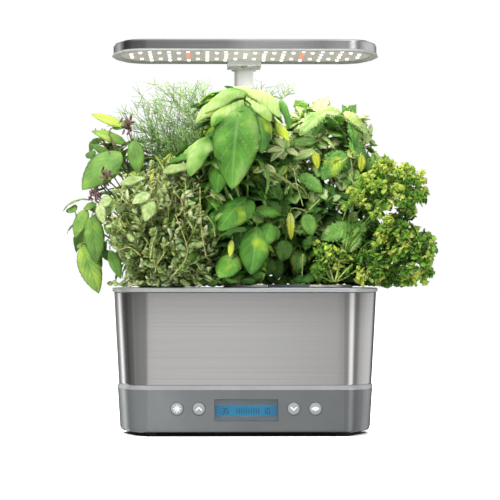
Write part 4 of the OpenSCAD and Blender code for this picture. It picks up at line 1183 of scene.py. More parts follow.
def inner_spots(node, spots, seed, low=0.45, high=0.92):
    """Canopy points pulled in towards the herb's upright middle line, for the leaves deep inside
    that close the view through it, darkened with painted shade."""
    rng = np.random.default_rng(seed)
    line = herb_middle(node) * [1, 1, 0] + spots * [0, 0, 1]
    return line + (spots - line) * rng.uniform(low, high, (len(spots), 1))


def low_spots(x_span, y_span, z_span, count, seed):
    """Points in a flat box just over the deck, with normals to the front, for the low leaves
    that close the gap between a herb's crown and the rim."""
    rng = np.random.default_rng(seed)
    spots = np.stack([rng.uniform(*span, count) for span in (x_span, y_span, z_span)], 1)
    return spots, unit(rng.normal(0, 0.6, (count, 3)) + [0, -1, 0.3])


def without(bundle, x_span, y_span):
    """A bundle less the blades whose middle shows in a rectangle of the camera's frame."""
    x, y = shown_at(bundle["points"].mean(1))
    stay = (x < x_span[0]) | (x > x_span[1]) | (y < y_span[0]) | (y > y_span[1])
    return {**bundle, "points": bundle["points"][stay], "tint": bundle["tint"][stay]}


def rim_leaves(x_span, y_span, count, herb, tint, seed, long=(0.011, 0.018)):
    """Small leaves just over the deck, where the first pairs of a shoot sit, turned to the
    front. Each is moved up or down until its lowest point lies just over the deck."""
    spots, way = low_spots(x_span, y_span, (0.154, 0.168), count, seed)
    rng = np.random.default_rng(seed)
    size = rng.uniform(*long, count)
    style = {**KEY_STYLE[herb], "rows": 6, "columns": 4}
    along = np.stack([rng.choice([-1.0, 1.0], count), rng.uniform(-0.4, 0.2, count),
                      rng.normal(0, 0.22, count)], 1)
    made = blades(spots, along, unit([0, -0.9, 0.4] + 0.35 * way), size, size * 0.66,
                  tint + rng.normal(0, 0.3, count), droop=0.3, seed=seed, **style)
    rest = resting_height(made["points"]).max(1) + rng.uniform(0.0001, 0.0035, count)
    made["points"][..., 2] += (rest - made["points"][..., 2].min(1))[:, None]
    return made


def uncovered(spots):
    """Which points do not stand in front of a leaf that was placed one by one."""
    near = FRONT[front_cells(spots)]
    return ~(np.isfinite(near) & (spots[:, 1] < near + 0.004))


def stalks(base, along, paths, radius, reach=0.010):
    """Short stalks from leaves back to the nearest point of a herb's shoots, as tubes of five
    points that leave the leaf against its direction."""
    spots = paths[:, 2:].reshape(-1, 3)
    gap = np.linalg.norm(base[:, None] - spots[None] + [0, 0, -0.004], axis=-1)
    end = spots[np.argmin(gap, 1)]
    knee = base - unit(along) * np.minimum(reach, 0.5 * gap.min(1))[:, None]
    t = np.linspace(0, 1, 5)[None, :, None]
    path = (1 - t) ** 2 * base[:, None] + 2 * t * (1 - t) * knee[:, None] + t ** 2 * end[:, None]
    return tubes(path, (radius * 0.8, radius))


def from_frame(rows):
    """Single leaves that are placed one by one, from rows like those of BY_EYE. The arc's first
    direction is the chord turned back by half the droop."""
    base, along, up, length, width, droop, tint = ([] for _ in range(7))
    for (x0, y0, x1, y1, d0, d1, wide, bend, face, tone) in rows:
        p, q = seen(x0, y0, d0 / 1000), seen(x1, y1, d1 / 1000)
        chord = unit(q - p)
        top = square_up(np.array(face, float), chord)
        h = bend / 2
        base.append(p)
        along.append(math.cos(h) * chord + math.sin(h) * top)
        up.append(math.cos(h) * top - math.sin(h) * chord)
        length.append(np.linalg.norm(q - p) * h / math.sin(h))
        width.append(wide / 1000)
        droop.append(bend)
        tint.append(tone)
    return [np.array(v) for v in (base, along, up, length, width, droop, tint)]


# %% [markdown]
# ## Leaf finishes
# A leaf has a pale midrib with side veins, a blade that swells between them, patches of lighter
# and darker green, and a dull underside. A painted image would give that at once, but a
# pattern that follows the leaf's own u and v fits every blade and any size. The vein pattern is
# a group, because five herbs use it with their own vein counts. A little light passes through a
# blade, which is the shader's subsurface part. Light and shade are painted in as well: each
# leaf's tint makes it lighter or darker by where it stands, and the creases are darkened.

# %% Leaf veins
veins, v_in, v_out = group(
    "Leaf veins",
    [("Pairs", "Float", 7.0), ("Slant", "Float", 0.3), ("Thin", "Float", 0.2)],
    [("Vein", "Float"), ("Height", "Float")])
flat = add(veins, "ShaderNodeSeparateXYZ", {
    0: add(veins, "ShaderNodeUVMap", uv_map="UVMap").outputs[0]}).outputs
out_w = times(veins, math_node(veins, "ABSOLUTE", math_node(
    veins, "SUBTRACT", flat["Y"], 0.5)), 2.0)
rib = spread(veins, out_w, 0.1, 0.02)
leaning = math_node(veins, "SUBTRACT", flat["X"], times(veins, out_w, v_in["Slant"]))
saw = times(veins, math_node(veins, "PINGPONG", times(veins, leaning, v_in["Pairs"]), 0.5), 2.0)
branch = times(veins, spread(veins, saw, v_in["Thin"], 0.0),
               spread(veins, out_w, 1.0, 0.5, 0.1, 0.7))
swell = spread(veins, saw, -0.35, 1.0, interpolation_type="SMOOTHSTEP")
pillow = times(veins, swell, spread(veins, out_w, 1.0, 0.6, 0.2, 1.0))
feed(veins, v_out, Vein=math_node(veins, "MAXIMUM", rib, branch),
     Height=math_node(veins, "SUBTRACT", pillow, times(veins, rib, 0.9)))

# %% Leaf finish
# The top of the tint ramp, yellow-green: painted light on the most brightly lit leaves.
SUNLIT_YELLOW_GREEN = (212, 224, 66)


def per_point(tree, label):
    """The numbers that a mesh holds at its points under this label."""
    return add(tree, "ShaderNodeAttribute", attribute_name=label).outputs["Fac"]


def leaf_finish(name, dark, base, light, under, vein, pairs=7.0, slant=0.3, roughness=0.42,
                depth=0.5, patch=60.0, uneven=0.22, show=0.35, blush=None, crease_shade_amount=0.3):
    """A herb's leaf: green from dark to light by each leaf's tint and by patches, paler veins and
    painted shade in the creases of the shared pattern, and a duller underside. The tint also
    holds painted light and shade: its lowest values end in a deeper painted shade, and its
    highest turn yellow-green, as painted light on the most lit leaves."""
    made, tree, shader = finish(name, Subsurface_Weight=0.4, Subsurface_Scale=0.0012,
                                Subsurface_Radius=(0.55, 1.0, 0.2))
    beneath = per_point(tree, "under")
    patches = noise(tree, patch, 3.0)
    tone = math_node(tree, "ADD", per_point(tree, "tint"),
                     spread(tree, patches, 0.3, 0.7, -uneven, uneven))
    # Below the dark green, the lowest tints end in a painted shade.
    green = [0.4 * c for c in linear(*dark)[:3]] + [1.0]
    for low, high, next_green in ((-0.6, 0.0, dark), (0.0, 0.5, base), (0.5, 1.0, light),
                                  (1.2, 1.5, SUNLIT_YELLOW_GREEN)):
        green = mixed(tree, spread(tree, tone, low, high), green, linear(*next_green))
    pattern = place_group(tree, veins, Pairs=pairs, Slant=slant)
    green = mixed(tree, times(tree, pattern["Vein"], show), green, linear(*vein))
    if blush:
        green = mixed(tree, spread(tree, noise(tree, 38.0), 0.58, 0.74), green, linear(*blush))
    green = mixed(tree, times(tree, beneath, 0.6), green, linear(*under))
    # The creases of the vein pattern are darkened: painted shade.
    painted_crease_shade = spread(tree, pattern["Height"], 0.7, 0.1, 0.0, crease_shade_amount)
    rough = math_node(tree, "ADD", times(tree, beneath, 0.2),
                      spread(tree, patches, 0.3, 0.7, roughness - 0.05, roughness + 0.08))
    feed(tree, shader, Base_Color=mixed(tree, painted_crease_shade, green, linear(*dark)), Roughness=rough)
    bump(tree, shader, pattern["Height"], depth, 0.0006)
    return made


def stem_finish(name, green, pale, scale=220.0):
    """A herb's stems: two greens mottled along them, and slightly rough."""
    made, tree, shader = finish(name, Subsurface_Weight=0.1, Subsurface_Scale=0.001)
    mottle = noise(tree, scale)
    tone = math_node(tree, "ADD", spread(tree, mottle, 0.35, 0.65, -0.3, 0.3),
                     per_point(tree, "tint"))
    feed(tree, shader, Roughness=spread(tree, mottle, 0.3, 0.7, 0.45, 0.6), Base_Color=mixed(
        tree, spread(tree, tone, 0.0, 1.0), linear(*green), linear(*pale)))
    bump(tree, shader, mottle, 0.2, 0.0002)
    return made


# %% Finishes of the six herbs
finishes["sweet_basil_leaf"] = leaf_finish(
    "sweet_basil_leaf", (42, 92, 28), (94, 150, 52), (186, 216, 128), (124, 166, 88),
    (172, 212, 126), pairs=6.0, roughness=0.36, depth=0.3, patch=34.0, show=0.26, uneven=0.36,
    blush=(176, 202, 50), crease_shade_amount=0.14)
finishes["thai_basil_leaf"] = leaf_finish(
    "thai_basil_leaf", (62, 98, 40), (118, 160, 76), (190, 216, 92), (140, 166, 104),
    (166, 196, 118), slant=0.36, roughness=0.4, depth=0.4)
finishes["mint_leaf"] = leaf_finish(
    "mint_leaf", (68, 118, 48), (128, 184, 84), (222, 242, 164), (138, 184, 100), (188, 224, 130),
    pairs=9.0, roughness=0.4, depth=0.9, uneven=0.3, blush=(188, 210, 62))
finishes["thyme_leaf"] = leaf_finish(
    "thyme_leaf", (76, 94, 46), (152, 178, 104), (214, 230, 168), (176, 192, 144),
    (192, 208, 126), pairs=4.0, depth=0.3, patch=110.0, show=0.25, blush=(122, 150, 130))
finishes["parsley_leaf"] = leaf_finish(
    "parsley_leaf", (42, 92, 26), (132, 184, 60), (212, 232, 98), (132, 178, 80), (170, 208, 100),
    pairs=5.0, roughness=0.34, patch=48.0, uneven=0.34)
finishes["dill_leaf"] = stem_finish("dill_threads", (50, 98, 42), (168, 206, 124), 90.0)
finishes["thai_basil_flower"] = stem_finish("thai_basil_flower_buds", (92, 56, 60),
                                            (158, 126, 124))
for label, green, pale in (("basil_stem", (84, 126, 48), (150, 182, 96)),
                           ("thai_basil_stem", (104, 62, 52), (128, 150, 84)),
                           ("mint_stem", (104, 128, 62), (196, 212, 132)),
                           ("thyme_stem", (104, 90, 52), (208, 216, 122)),
                           ("parsley_stem", (92, 136, 48), (196, 216, 120))):
    finishes[label] = stem_finish(label + "s", green, pale)
print("finishes with leaves and stems:", len(finishes))

# %% [markdown]
# ## Leaves placed one by one
# The eye goes to the few large leaves that face the front, so these are set one by one, from the
# place of the stalk and of the tip in the camera's frame. They are made first. Every other leaf
# is then checked against them and left out where it would hide one, which is quicker than moving
# leaves about by hand and stays true when a seed changes.

# %% Rows for the large leaves
POD_X, POD_Y, CROWN_Z = 0.084, 0.032, 0.1475
CROWNS = {herb: (POD_X * (k % 3 - 1), POD_Y * (1 - k // 3 * 2), CROWN_Z)
          for k, herb in enumerate(HERBS)}
# Each row: stalk end x, y and tip x, y in the camera's frame, the depths of both in mm, width
# in mm, droop, the way the leaf faces, tint. The tints carry painted light and shade.
BY_EYE = {
    "sweet_basil": [
        (241, 104, 232, 190, -64, -97, 47, 1.25, (-0.1, -1, 0.5), 0.42),
        (252, 104, 262, 154, -58, -80, 32, 1.1, (0.45, -0.9, 0.35), 0.1),
        (213, 136, 190, 177, -64, -84, 33, 1.45, (-0.7, -0.7, 0.3), 0.68),
        (221, 158, 217, 194, -66, -80, 22, 0.8, (-0.15, -1, 0.3), 0.42),
        (214, 148, 205, 178, -50, -58, 20, 0.7, (0.5, -0.8, 0.1), -0.75),
        (240, 184, 223, 208, -44, -54, 26, 0.7, (0.1, -1, 0.1), -0.7),
        (246, 91, 205, 113, -40, -70, 24, 1.2, (-0.35, -0.75, 0.75), 0.8),
        (243, 99, 211, 127, -50, -78, 26, 1.1, (-0.45, -0.85, 0.6), 0.72),
        (249, 90, 280, 118, -38, -62, 27, 1.25, (0.5, -0.65, 0.75), 0.95),
        (247, 97, 271, 122, -46, -72, 22, 1.0, (0.4, -0.8, 0.6), 0.85),
        (281, 99, 290, 129, -38, -48, 13, 0.6, (0.75, -0.7, 0.2), 0.4),
        (276, 122, 289, 141, -48, -56, 11, 0.6, (0.3, -0.9, 0.4), 1.5),
        (251, 197, 219, 231, -66, -88, 34, 0.9, (-0.25, -0.9, 0.6), 0.16),
        (257, 226, 251, 275, -66, -80, 31, 0.55, (0.1, -1, 0.25), 0.3),
        (236, 254, 219, 278, -60, -80, 26, 0.6, (-0.2, -1, 0.45), 0.56),
        (232, 240, 230, 257, -70, -72, 7, 0.4, (0.2, -1, 0.3), 1.5),
        (271, 223, 263, 246, -58, -70, 20, 0.7, (0.3, -0.9, 0.45), 0.3),
        (264, 246, 263, 272, -56, -64, 20, 0.5, (0.3, -1, 0.3), 0.25),
        (236, 89, 250, 100, -14, -50, 22, 1.2, (0.1, -0.5, 0.9), 1.2)],
    "thai_basil": [
        (124, 126, 91, 114, 20, 14, 11, 0.35, (-0.2, -1, 0.5), 0.95),
        (126, 143, 91, 131, 24, 16, 13, 0.4, (-0.1, -1, 0.6), 0.72),
        (112, 156, 90, 144, 26, 18, 8, 0.5, (0.2, -1, -0.1), 0.3),
        (121, 152, 82, 190, 6, -6, 35, 0.6, (-0.35, -1, 0.35), 0.4),
        (86, 209, 75, 238, 20, 12, 17, 0.5, (-0.5, -0.9, 0.2), 0.56),
        (92, 216, 97, 264, 8, 2, 21, 0.6, (0.15, -1, 0.15), 0.44),
        (82, 246, 99, 294, 6, 6, 23, 0.5, (0.1, -1, 0.2), 0.66),
        (95, 250, 99, 274, 22, 18, 12, 0.4, (0.3, -1, 0.1), 0.3),
        (134, 140, 138, 175, -8, -16, 18, 0.5, (0.3, -1, 0.3), 0.4),
        (110, 250, 121, 279, -20, -26, 12, 0.4, (0.1, -1, 0.2), 0.3),
        (112, 128, 136, 122, 22, 18, 10, 0.5, (0.1, -1, 0.6), 0.3),
        (84, 208, 97, 204, 18, 8, 9, 0.4, (0, -1, 0.5), 0.5)],
    "mint": [
        (352, 226, 320, 240, -4, -16, 24, 0.5, (-0.1, -1, 0.5), 0.5),
        (352, 228, 350, 253, -6, -20, 24, 0.5, (0.1, -1, 0.35), 0.5),
        (352, 224, 366, 232, 0, -10, 18, 0.6, (0.3, -1, 0.5), 0.46),
        (350, 222, 357, 212, 2, -2, 12, 0.5, (0, -1, 0.5), 0.55),
        (300, 174, 323, 193, -16, -20, 17, 0.5, (0.1, -1, 0.4), 0.36),
        (326, 160, 352, 166, -12, -8, 26, 0.7, (0.2, -1, 0.3), 0.2),
        (350, 140, 365, 168, -6, 0, 20, 0.8, (0.6, -0.8, 0.2), 0.24),
        (345, 152, 322, 180, -10, -20, 24, 0.6, (-0.1, -1, 0.2), 0.22),
        (323, 114, 312, 138, -4, -12, 13, 0.9, (-0.2, -1, 0.4), 0.3),
        (341, 113, 318, 112, -2, -8, 12, 0.9, (-0.1, -1, 0.5), 0.8),
        (325, 112, 299, 136, -10, -26, 17, 1.0, (-0.2, -1, 0.5), 0.75),
        (344, 112, 361, 128, -6, -12, 12, 1.0, (0.3, -1, 0.5), 0.9),
        (345, 117, 368, 135, 0, -4, 16, 0.9, (0.5, -0.7, 0.7), 0.8),
        (350, 121, 356, 147, -4, -8, 12, 0.5, (0.5, -1, 0.2), 0.16),
        (326, 130, 312, 126, -8, -12, 9, 0.5, (0, -1, 0.4), 0.1),
        (318, 136, 293, 130, -8, -16, 11, 0.7, (0, -1, 0.5), 0.72),
        (316, 140, 292, 144, -10, -18, 11, 0.6, (0, -1, 0.4), 0.6),
        (315, 150, 293, 160, -14, -22, 11, 0.6, (0, -1, 0.5), 0.8),
        (314, 151, 318, 169, -16, -20, 9, 0.4, (0.2, -1, 0.2), 1.6),
        (362, 155, 361, 172, -8, -12, 9, 0.5, (0.3, -1, 0.2), 1.5),
        (290, 212, 291, 240, -26, -32, 9, 0.4, (0.1, -1, 0.2), 1.5),
        (284, 148, 266, 152, -34, -46, 8, 0.6, (-0.2, -1, 0.5), 1.1),
        (284, 148, 270, 162, -34, -46, 8, 0.7, (-0.2, -1, 0.5), 0.95),
        (285, 147, 274, 138, -34, -42, 7, 0.7, (-0.2, -1, 0.5), 1.15),
        (286, 147, 286, 134, -30, -36, 7, 0.7, (0, -1, 0.5), 0.9),
        (264, 168, 253, 173, -60, -70, 8, 0.7, (0, -1, 0.5), 0.9),
        (264, 167, 268, 180, -60, -68, 8, 0.7, (0, -1, 0.4), 0.7),
        (265, 166, 276, 172, -60, -66, 7, 0.7, (0, -1, 0.4), 0.95),
        (286, 149, 299, 156, -30, -36, 8, 0.7, (0.2, -1, 0.5), 0.9),
        (286, 166, 278, 178, -30, -36, 9, 0.6, (-0.2, -1, 0.4), 0.55),
        (332, 200, 341, 196, -14, -18, 8, 0.4, (0, -1, 0.5), 1.0),
        (278, 228, 262, 240, -36, -44, 19, 0.6, (0, -1, 0.4), 0.4),
        (286, 240, 281, 262, -10, -16, 20, 0.5, (0.1, -1, 0.3), 0.34),
        (300, 250, 296, 272, -8, -14, 18, 0.5, (0, -1, 0.3), 0.34),
        (306, 214, 312, 236, -24, -30, 18, 0.5, (0.1, -1, 0.3), 0.32),
        (268, 256, 267, 277, -2, -6, 18, 0.4, (0, -1, 0.3), 0.2),
        (277, 258, 277, 280, -2, -6, 16, 0.4, (0.1, -1, 0.3), 0.15)],
    "thyme": [
        (162, 172, 196, 167, -52, -60, 15, 0.7, (0, -0.8, 0.75), 0.5),
        (120, 184, 146, 178, -42, -48, 12, 0.6, (0, -0.9, 0.6), 0.6),
        (112, 198, 97, 208, -34, -30, 13, 0.5, (-0.3, -1, 0.4), 0.7),
        (99, 204, 104, 224, -34, -38, 12, 0.5, (-0.3, -1, 0.3), 0.8),
        (150, 193, 132, 204, -86, -92, 14, 0.6, (-0.1, -1, 0.6), 0.75),
        (152, 200, 145, 222, -88, -95, 16, 0.6, (0, -1, 0.4), 0.6),
        (210, 192, 226, 201, -60, -66, 9, 0.5, (0.2, -1, 0.4), 0.7),
        (124, 205, 117, 214, -66, -72, 10, 0.5, (-0.2, -1, 0.4), 0.1)]}
KEY_STYLE = {
    "sweet_basil": dict(rows=30, columns=14, fold=0.36, curl=0.75, wave=0.035, waves=1.6,
                        quilt=0.08, belly=0.42, tip=0.8),
    "thai_basil": dict(rows=20, columns=10, fold=0.22, curl=0.35, wave=0.015, teeth=0.02,
                       quilt=0.06, belly=0.42, tip=0.9),
    "mint": dict(rows=20, columns=8, fold=0.28, curl=0.35, wave=0.02, teeth=0.13, quilt=0.3,
                 tip=0.8, belly=0.42),
    "thyme": dict(rows=12, columns=6, fold=0.24, curl=0.35, quilt=0.05)}

# %% Large leaves first
key, key_blades = {}, {}
for seed, (herb, rows) in enumerate(BY_EYE.items()):
    base, along, up, length, width, droop, tint = key[herb] = from_frame(rows)
    key_blades[herb] = show(blades(base, along, up, length, width, tint, droop=droop,
                                   seed=90 + seed, **KEY_STYLE[herb]))
    print(herb, "large leaves that touch the garden:",
          np.flatnonzero(~clear_of_garden(key_blades[herb]["points"])).tolist())
print("deck at", round(1000 * DECK_Z, 2), "mm, squares of the front view kept for large leaves:",
      int(np.isfinite(FRONT).sum()))


def leaf_stalks(herb, cover, base, along, paths, radius):
    """Stalks for the leaves that cloak a herb, where they are kept, and for its large ones."""
    on = kept(cover)
    return stalks(np.concatenate([base[on], key[herb][0]]),
                  np.concatenate([along[on], key[herb][1]]), paths, radius)


def eye_stems(rows, radius, tint, points=8):
    """Stems that are placed one by one: each row is a depth in mm and the points (x, y) of its
    line in the camera's frame."""
    t = np.linspace(0, 1, points)
    paths = []
    for depth, line in rows:
        spots = np.array([seen(x, y, depth / 1000) for x, y in line])
        step = np.linspace(0, 1, len(spots))
        paths.append(np.stack([np.interp(t, step, spots[:, a]) for a in range(3)], 1))
    paths = np.array(paths)
    paths[:, 1:-1] = (paths[:, :-2] + 2 * paths[:, 1:-1] + paths[:, 2:]) / 4
    return tubes(paths, (radius, radius), tint, 5)


# %% [markdown]
# ## Dill
# Dill has thread leaves: a stem carries side branches, and these carry threads, all thinner
# than a pin. A particle system could scatter hairs, but dill branches in a pattern. Here three
# levels of tubes are worked out one from another. The threads are repeated thousands of times,
# so each has only three sides.

# %% Dill branches
def side_branches(paths, count, first, last, length, opening, points, seed, bend, taper=0.5):
    """Branches on both sides of many stems: count pairs each, shorter towards the tip, which
    leave at the angle opening and bend upwards, more or less, by bend."""
    rng = np.random.default_rng(seed)
    n = len(paths)
    t = np.linspace(first, last, count)[None] + rng.uniform(-0.02, 0.02, (n, count))
    place, heading = along_paths(paths, t)
    aside = unit(rng.normal(0, 1, (n, 1, 3)))
    e1 = unit(np.cross(heading, aside))
    e2 = np.cross(heading, e1)
    out = []
    for flip in (0.0, math.pi):
        a = flip + rng.normal(0, 0.5, (n, count, 1))
        away = np.cos(a) * e1 + np.sin(a) * e2
        angle = opening + rng.normal(0, 0.15, (n, count, 1))
        out.append(unit(np.sin(angle) * away + np.cos(angle) * heading))
    heading2 = np.stack(out, 2).reshape(-1, 3)
    start = np.repeat(place[:, :, None], 2, 2).reshape(-1, 3)
    share = np.repeat(((t - first) / max(last - first, 1e-6))[..., None], 2, -1).reshape(-1)
    reach = length * (1 - taper * np.clip(share, 0, 1)) * rng.uniform(0.75, 1.2, len(start))
    s = np.linspace(0, 1, points)[None, :, None]
    lift = np.array([0, 0, 0.7]) + rng.normal(0, 0.6, (len(start), 3))
    return start[:, None] + reach[:, None, None] * (
        s * heading2[:, None] + bend * s ** 2 * unit(lift)[:, None])


# %% Dill
spots, normals = canopy("dill", 40, 3, above=0.2, apart=0.014)
spots = spots[spots[:, 2] < 0.312]
rng = np.random.default_rng(5)
inner = herb_middle("dill") + (spots[:12] - herb_middle("dill")) * rng.uniform(0.45, 0.8, (12, 1))
low = low_spots((-0.108, -0.045), (0.0, 0.03), (0.232, 0.3), 32, 6)[0]
by_eye = np.array([seen(x, y, d / 1000) for x, y, d in (
    (158, 84, 20), (176, 79, 14), (188, 84, 25), (192, 96, 10), (170, 95, 30), (148, 102, 24),
    (134, 112, 16), (130, 122, 30), (142, 118, 8), (204, 100, 26), (158, 112, 14),
    (182, 108, 22), (262, 84, 40), (285, 95, 36), (210, 118, 18), (150, 134, 12))])
fronds = shoot_paths(CROWNS["dill"], np.concatenate([spots, inner, low, by_eye]), 12, 0.75,
                     0.006, 11)
branches = side_branches(fronds, 8, 0.55, 0.985, 0.027, 0.85, 5, 12, bend=0.3)
threads = side_branches(branches, 3, 0.3, 0.97, 0.0155, 0.75, 3, 13, bend=0.4)


def dill_tint(paths, low, high):
    """Painted light and shade: darker far back and low down, lighter in front and on top, with
    some chance.
    """
    middle = paths.mean(1)
    return (rng.uniform(low, high, len(paths)) - 6.0 * np.clip(middle[:, 1] - 0.015, 0, 1)
            + 4.0 * (middle[:, 2] - 0.28))


join_herb("dill", [
    tubes(fronds, (0.0011, 0.0004), 0.35, 5, 0),
    tubes(branches, (0.0004, 0.00028), dill_tint(branches, 0.2, 0.8), 3, 0),
    tubes(threads, (0.00036, 0.0002), dill_tint(threads, 0.1, 1.0), 3, 0)],
    ["dill_leaf", "dill_leaf"])

# %% [markdown]
# ## Sweet basil
# Sweet basil carries the largest leaves: broad, glossy, puffed up between the veins and hanging
# like spoons turned over. Leaves sit in pairs, each pair a quarter turn from the last. Some
# follow the pairs on the shoots, some cloak the space that the CAD model keeps for the plant,
# and ones deep inside, darkened with painted shade, close the view through it. Higher leaves
# are painted lighter.

# %% Sweet basil
def height_share(points, low, high):
    """0 at the height low to 1 at the height high, held at both ends."""
    return np.clip((points[:, 2] - low) / (high - low), 0, 1)


spots, normals = canopy("sweet_basil", 26, 21, above=0.19, apart=0.02)
basil_paths = shoot_paths(CROWNS["sweet_basil"], spots - normals * 0.014, 9, 0.55, 0.004, 22)
base, along, up, share = paired_leaves(basil_paths, 4, 0.42, 0.98, 1.45, 0.7, 23)
rng = np.random.default_rng(24)
size = 0.038 * (1.05 - 0.55 * share) * rng.uniform(0.8, 1.15, len(base))
# Leaves are painted lighter towards the top: painted light.
shoot_blades = blades(
    base, along, up, size, size * 0.62, 0.1 + 0.5 * height_share(base, 0.2, 0.34) + rng.normal(
        0, 0.15, len(base)), rows=12, columns=6, droop=rng.uniform(0.7, 1.5, len(base)),
    fold=0.22, curl=0.5, wave=0.02, quilt=0.1, twist=rng.normal(0, 0.25, len(base)), seed=25)
spots, normals = (np.concatenate(pair) for pair in zip(
    canopy("sweet_basil", 150, 26, above=0.152, apart=0.0105),
    low_spots((-0.046, 0.022), (-0.062, 0.0), (0.158, 0.185), 40, 31)))
size = rng.uniform(0.028, 0.046, len(spots)) * np.where(spots[:, 2] < 0.22, 0.8, 1.0)
base2, along2, up2 = cover_leaves(spots, normals, size, 27, 0.05, 0.45, 0.6, 1.0)
# Cover leaves are painted lighter towards the top: painted light.
cover_blades = blades(
    base2, along2, up2, size, size * 0.64, 0.22 + 0.7 * height_share(
        spots, 0.21, 0.34) ** 2 + rng.normal(0, 0.26, len(spots)), rows=12, columns=8,
    droop=rng.uniform(0.9, 1.8, len(spots)), fold=0.2, curl=0.5, wave=0.025, quilt=0.1,
    twist=rng.normal(0, 0.25, len(spots)), seed=28)
deep = inner_spots("sweet_basil", spots[:150], 30)
size = rng.uniform(0.028, 0.04, len(deep))
# The deep leaves get low tints: painted shade.
deep_blades = blades(*cover_leaves(deep, normals[:150], size, 30), size, size * 0.62,
                     rng.uniform(-0.5, 0.12, len(deep)), rows=8, columns=6, droop=1.2,
                     fold=0.2, curl=0.4, quilt=0.1, seed=30)
join_herb("sweet_basil", [
    *(without(without(b, (100, 203), (60, 150)), (100, 300), (40, 92))
      for b in (shoot_blades, cover_blades, deep_blades)),
    rim_leaves((-0.05, 0.02), (-0.066, -0.01), 110, "sweet_basil", 0.4, 29),
    key_blades["sweet_basil"], tubes(basil_paths, (0.0019, 0.0009), 0.4, 6),
    leaf_stalks("sweet_basil", cover_blades, base2, along2, basil_paths, 0.0009)],
    ["sweet_basil_leaf", "basil_stem"])

# %% [markdown]
# ## Thai basil
# Thai basil is slimmer than sweet basil, with purple stems and small purple flower buds at the
# ends of its shoots. A few long leaves hang free at the side.

# %% Thai basil
spots, normals = canopy("thai_basil", 24, 31, above=0.17, apart=0.018)
thai_paths = shoot_paths(CROWNS["thai_basil"], spots - normals * 0.008, 9, 0.6, 0.004, 32)
base, along, up, share = paired_leaves(thai_paths, 5, 0.4, 0.98, 1.35, 0.6, 33)
rng = np.random.default_rng(34)
size = 0.031 * (1.1 - 0.6 * share) * rng.uniform(0.8, 1.2, len(base))
shoot_blades = blades(base, along, up, size, size * 0.52, 0.36 + rng.normal(0, 0.2, len(base)),
                      rows=9, columns=6, droop=rng.uniform(0.6, 1.4, len(base)), fold=0.25,
                      curl=0.35, wave=0.02, teeth=0.03, quilt=0.05, seed=35)
spots, normals = canopy("thai_basil", 80, 36, above=0.16, apart=0.011)
size = rng.uniform(0.022, 0.036, len(spots))
base2, along2, up2 = cover_leaves(spots, normals, size, 37)
cover_blades = blades(base2, along2, up2, size, size * 0.52, 0.4 + rng.normal(
    0, 0.2, len(spots)), rows=10, columns=6, droop=rng.uniform(0.8, 1.6, len(spots)),
    fold=0.25, curl=0.35, wave=0.03, teeth=0.03, quilt=0.05, seed=38)
hang = np.array([seen(x, y, d / 1000) for x, y, d in (
    (127, 125, 12), (106, 178, -8), (97, 196, -6), (88, 208, 16), (95, 248, 10))])
hang_paths = shoot_paths(CROWNS["thai_basil"], hang, 9, 0.7, 0.003, 40)
tufts = np.repeat(hang[:3], 22, 0)
bud_way = unit(rng.normal(0, 1, (len(tufts), 3)) + [0, -0.5, 0.4])
bud_base = tufts + rng.normal(0, 0.0028, tufts.shape) * [1, 1, 1.4]
bud_lines = bud_base[:, None] + bud_way[:, None] * np.array([0, 0.003, 0.006])[:, None]
buds = tubes(bud_lines, (0.0009, 0.0013, 0.0006), rng.uniform(-0.2, 0.9, len(tufts)), 5, 2)
every_path = np.concatenate([thai_paths, hang_paths])
join_herb("thai_basil", [
    *(without(without(b, (40, 89), (100, 186)), (40, 122), (60, 126))
      for b in (shoot_blades, cover_blades)),
    key_blades["thai_basil"], buds,
    tubes(every_path, (0.0014, 0.0007), 0.4, 5),
    leaf_stalks("thai_basil", cover_blades, base2, along2, every_path, 0.0007)],
    ["thai_basil_leaf", "thai_basil_stem", "thai_basil_flower"])

# %% [markdown]
# ## Mint
# Mint leaves are oval with toothed rims and deep veins, in neat pairs up square stems. Teeth
# could be cut with a texture's alpha, but widening every other row of the blade's grid gives
# real ones for nothing.

# %% Mint
spots, normals = canopy("mint", 34, 51, above=0.18, apart=0.016)
mint_paths = shoot_paths(CROWNS["mint"], spots, 9, 0.6, 0.005, 52)
base, along, up, share = paired_leaves(mint_paths, 6, 0.36, 0.99, 1.45, 0.6, 53)
rng = np.random.default_rng(54)
size = 0.030 * (1.15 - 0.75 * share) * rng.uniform(0.8, 1.2, len(base))
# Leaves are painted lighter towards the top: painted light.
shoot_blades = blades(
    base, along, up, size, size * 0.68, 0.32 + 0.6 * height_share(base, 0.22, 0.31) + rng.normal(
        0, 0.18, len(base)), rows=8, columns=4, droop=rng.uniform(0.5, 1.4, len(base)),
    fold=0.25, curl=0.35, wave=0.02, teeth=0.07, quilt=0.14, tip=0.75, belly=0.42, seed=55)
spots, normals = (np.concatenate(pair) for pair in zip(
    canopy("mint", 300, 56, above=0.152, apart=0.009),
    low_spots((0.012, 0.118), (-0.03, 0.05), (0.157, 0.19), 90, 49),
    low_spots((0.006, 0.045), (-0.035, 0.01), (0.2, 0.295), 50, 48)))
size = rng.uniform(0.018, 0.032, len(spots))
base2, along2, up2 = cover_leaves(spots, normals, size, 57, -0.05, 0.5, 0.5, 1.3)
# Cover leaves are painted lighter towards the top: painted light.
cover_blades = blades(
    base2, along2, up2, size, size * 0.66, np.minimum(0.42 + 0.9 * height_share(
        spots, 0.24, 0.31) + rng.normal(0, 0.3, len(spots)), 1.0), rows=9, columns=6,
    droop=rng.uniform(0.5, 1.3, len(spots)), fold=0.28, curl=0.35, wave=0.03, teeth=0.15,
    quilt=0.2, tip=0.75, belly=0.42, seed=58)
deep = inner_spots("mint", spots[:170], 50)
size = rng.uniform(0.024, 0.034, len(deep))
# Deep leaves: low tints for painted shade, and painted lighter towards the top.
deep_blades = blades(
    *cover_leaves(deep, normals[:170], size, 50), size, size * 0.68, rng.uniform(
        -0.3, 0.3, len(deep)) + 0.9 * height_share(deep, 0.24, 0.31), rows=6, columns=4,
    droop=1.2, fold=0.2, curl=0.4, teeth=0.05, seed=50)
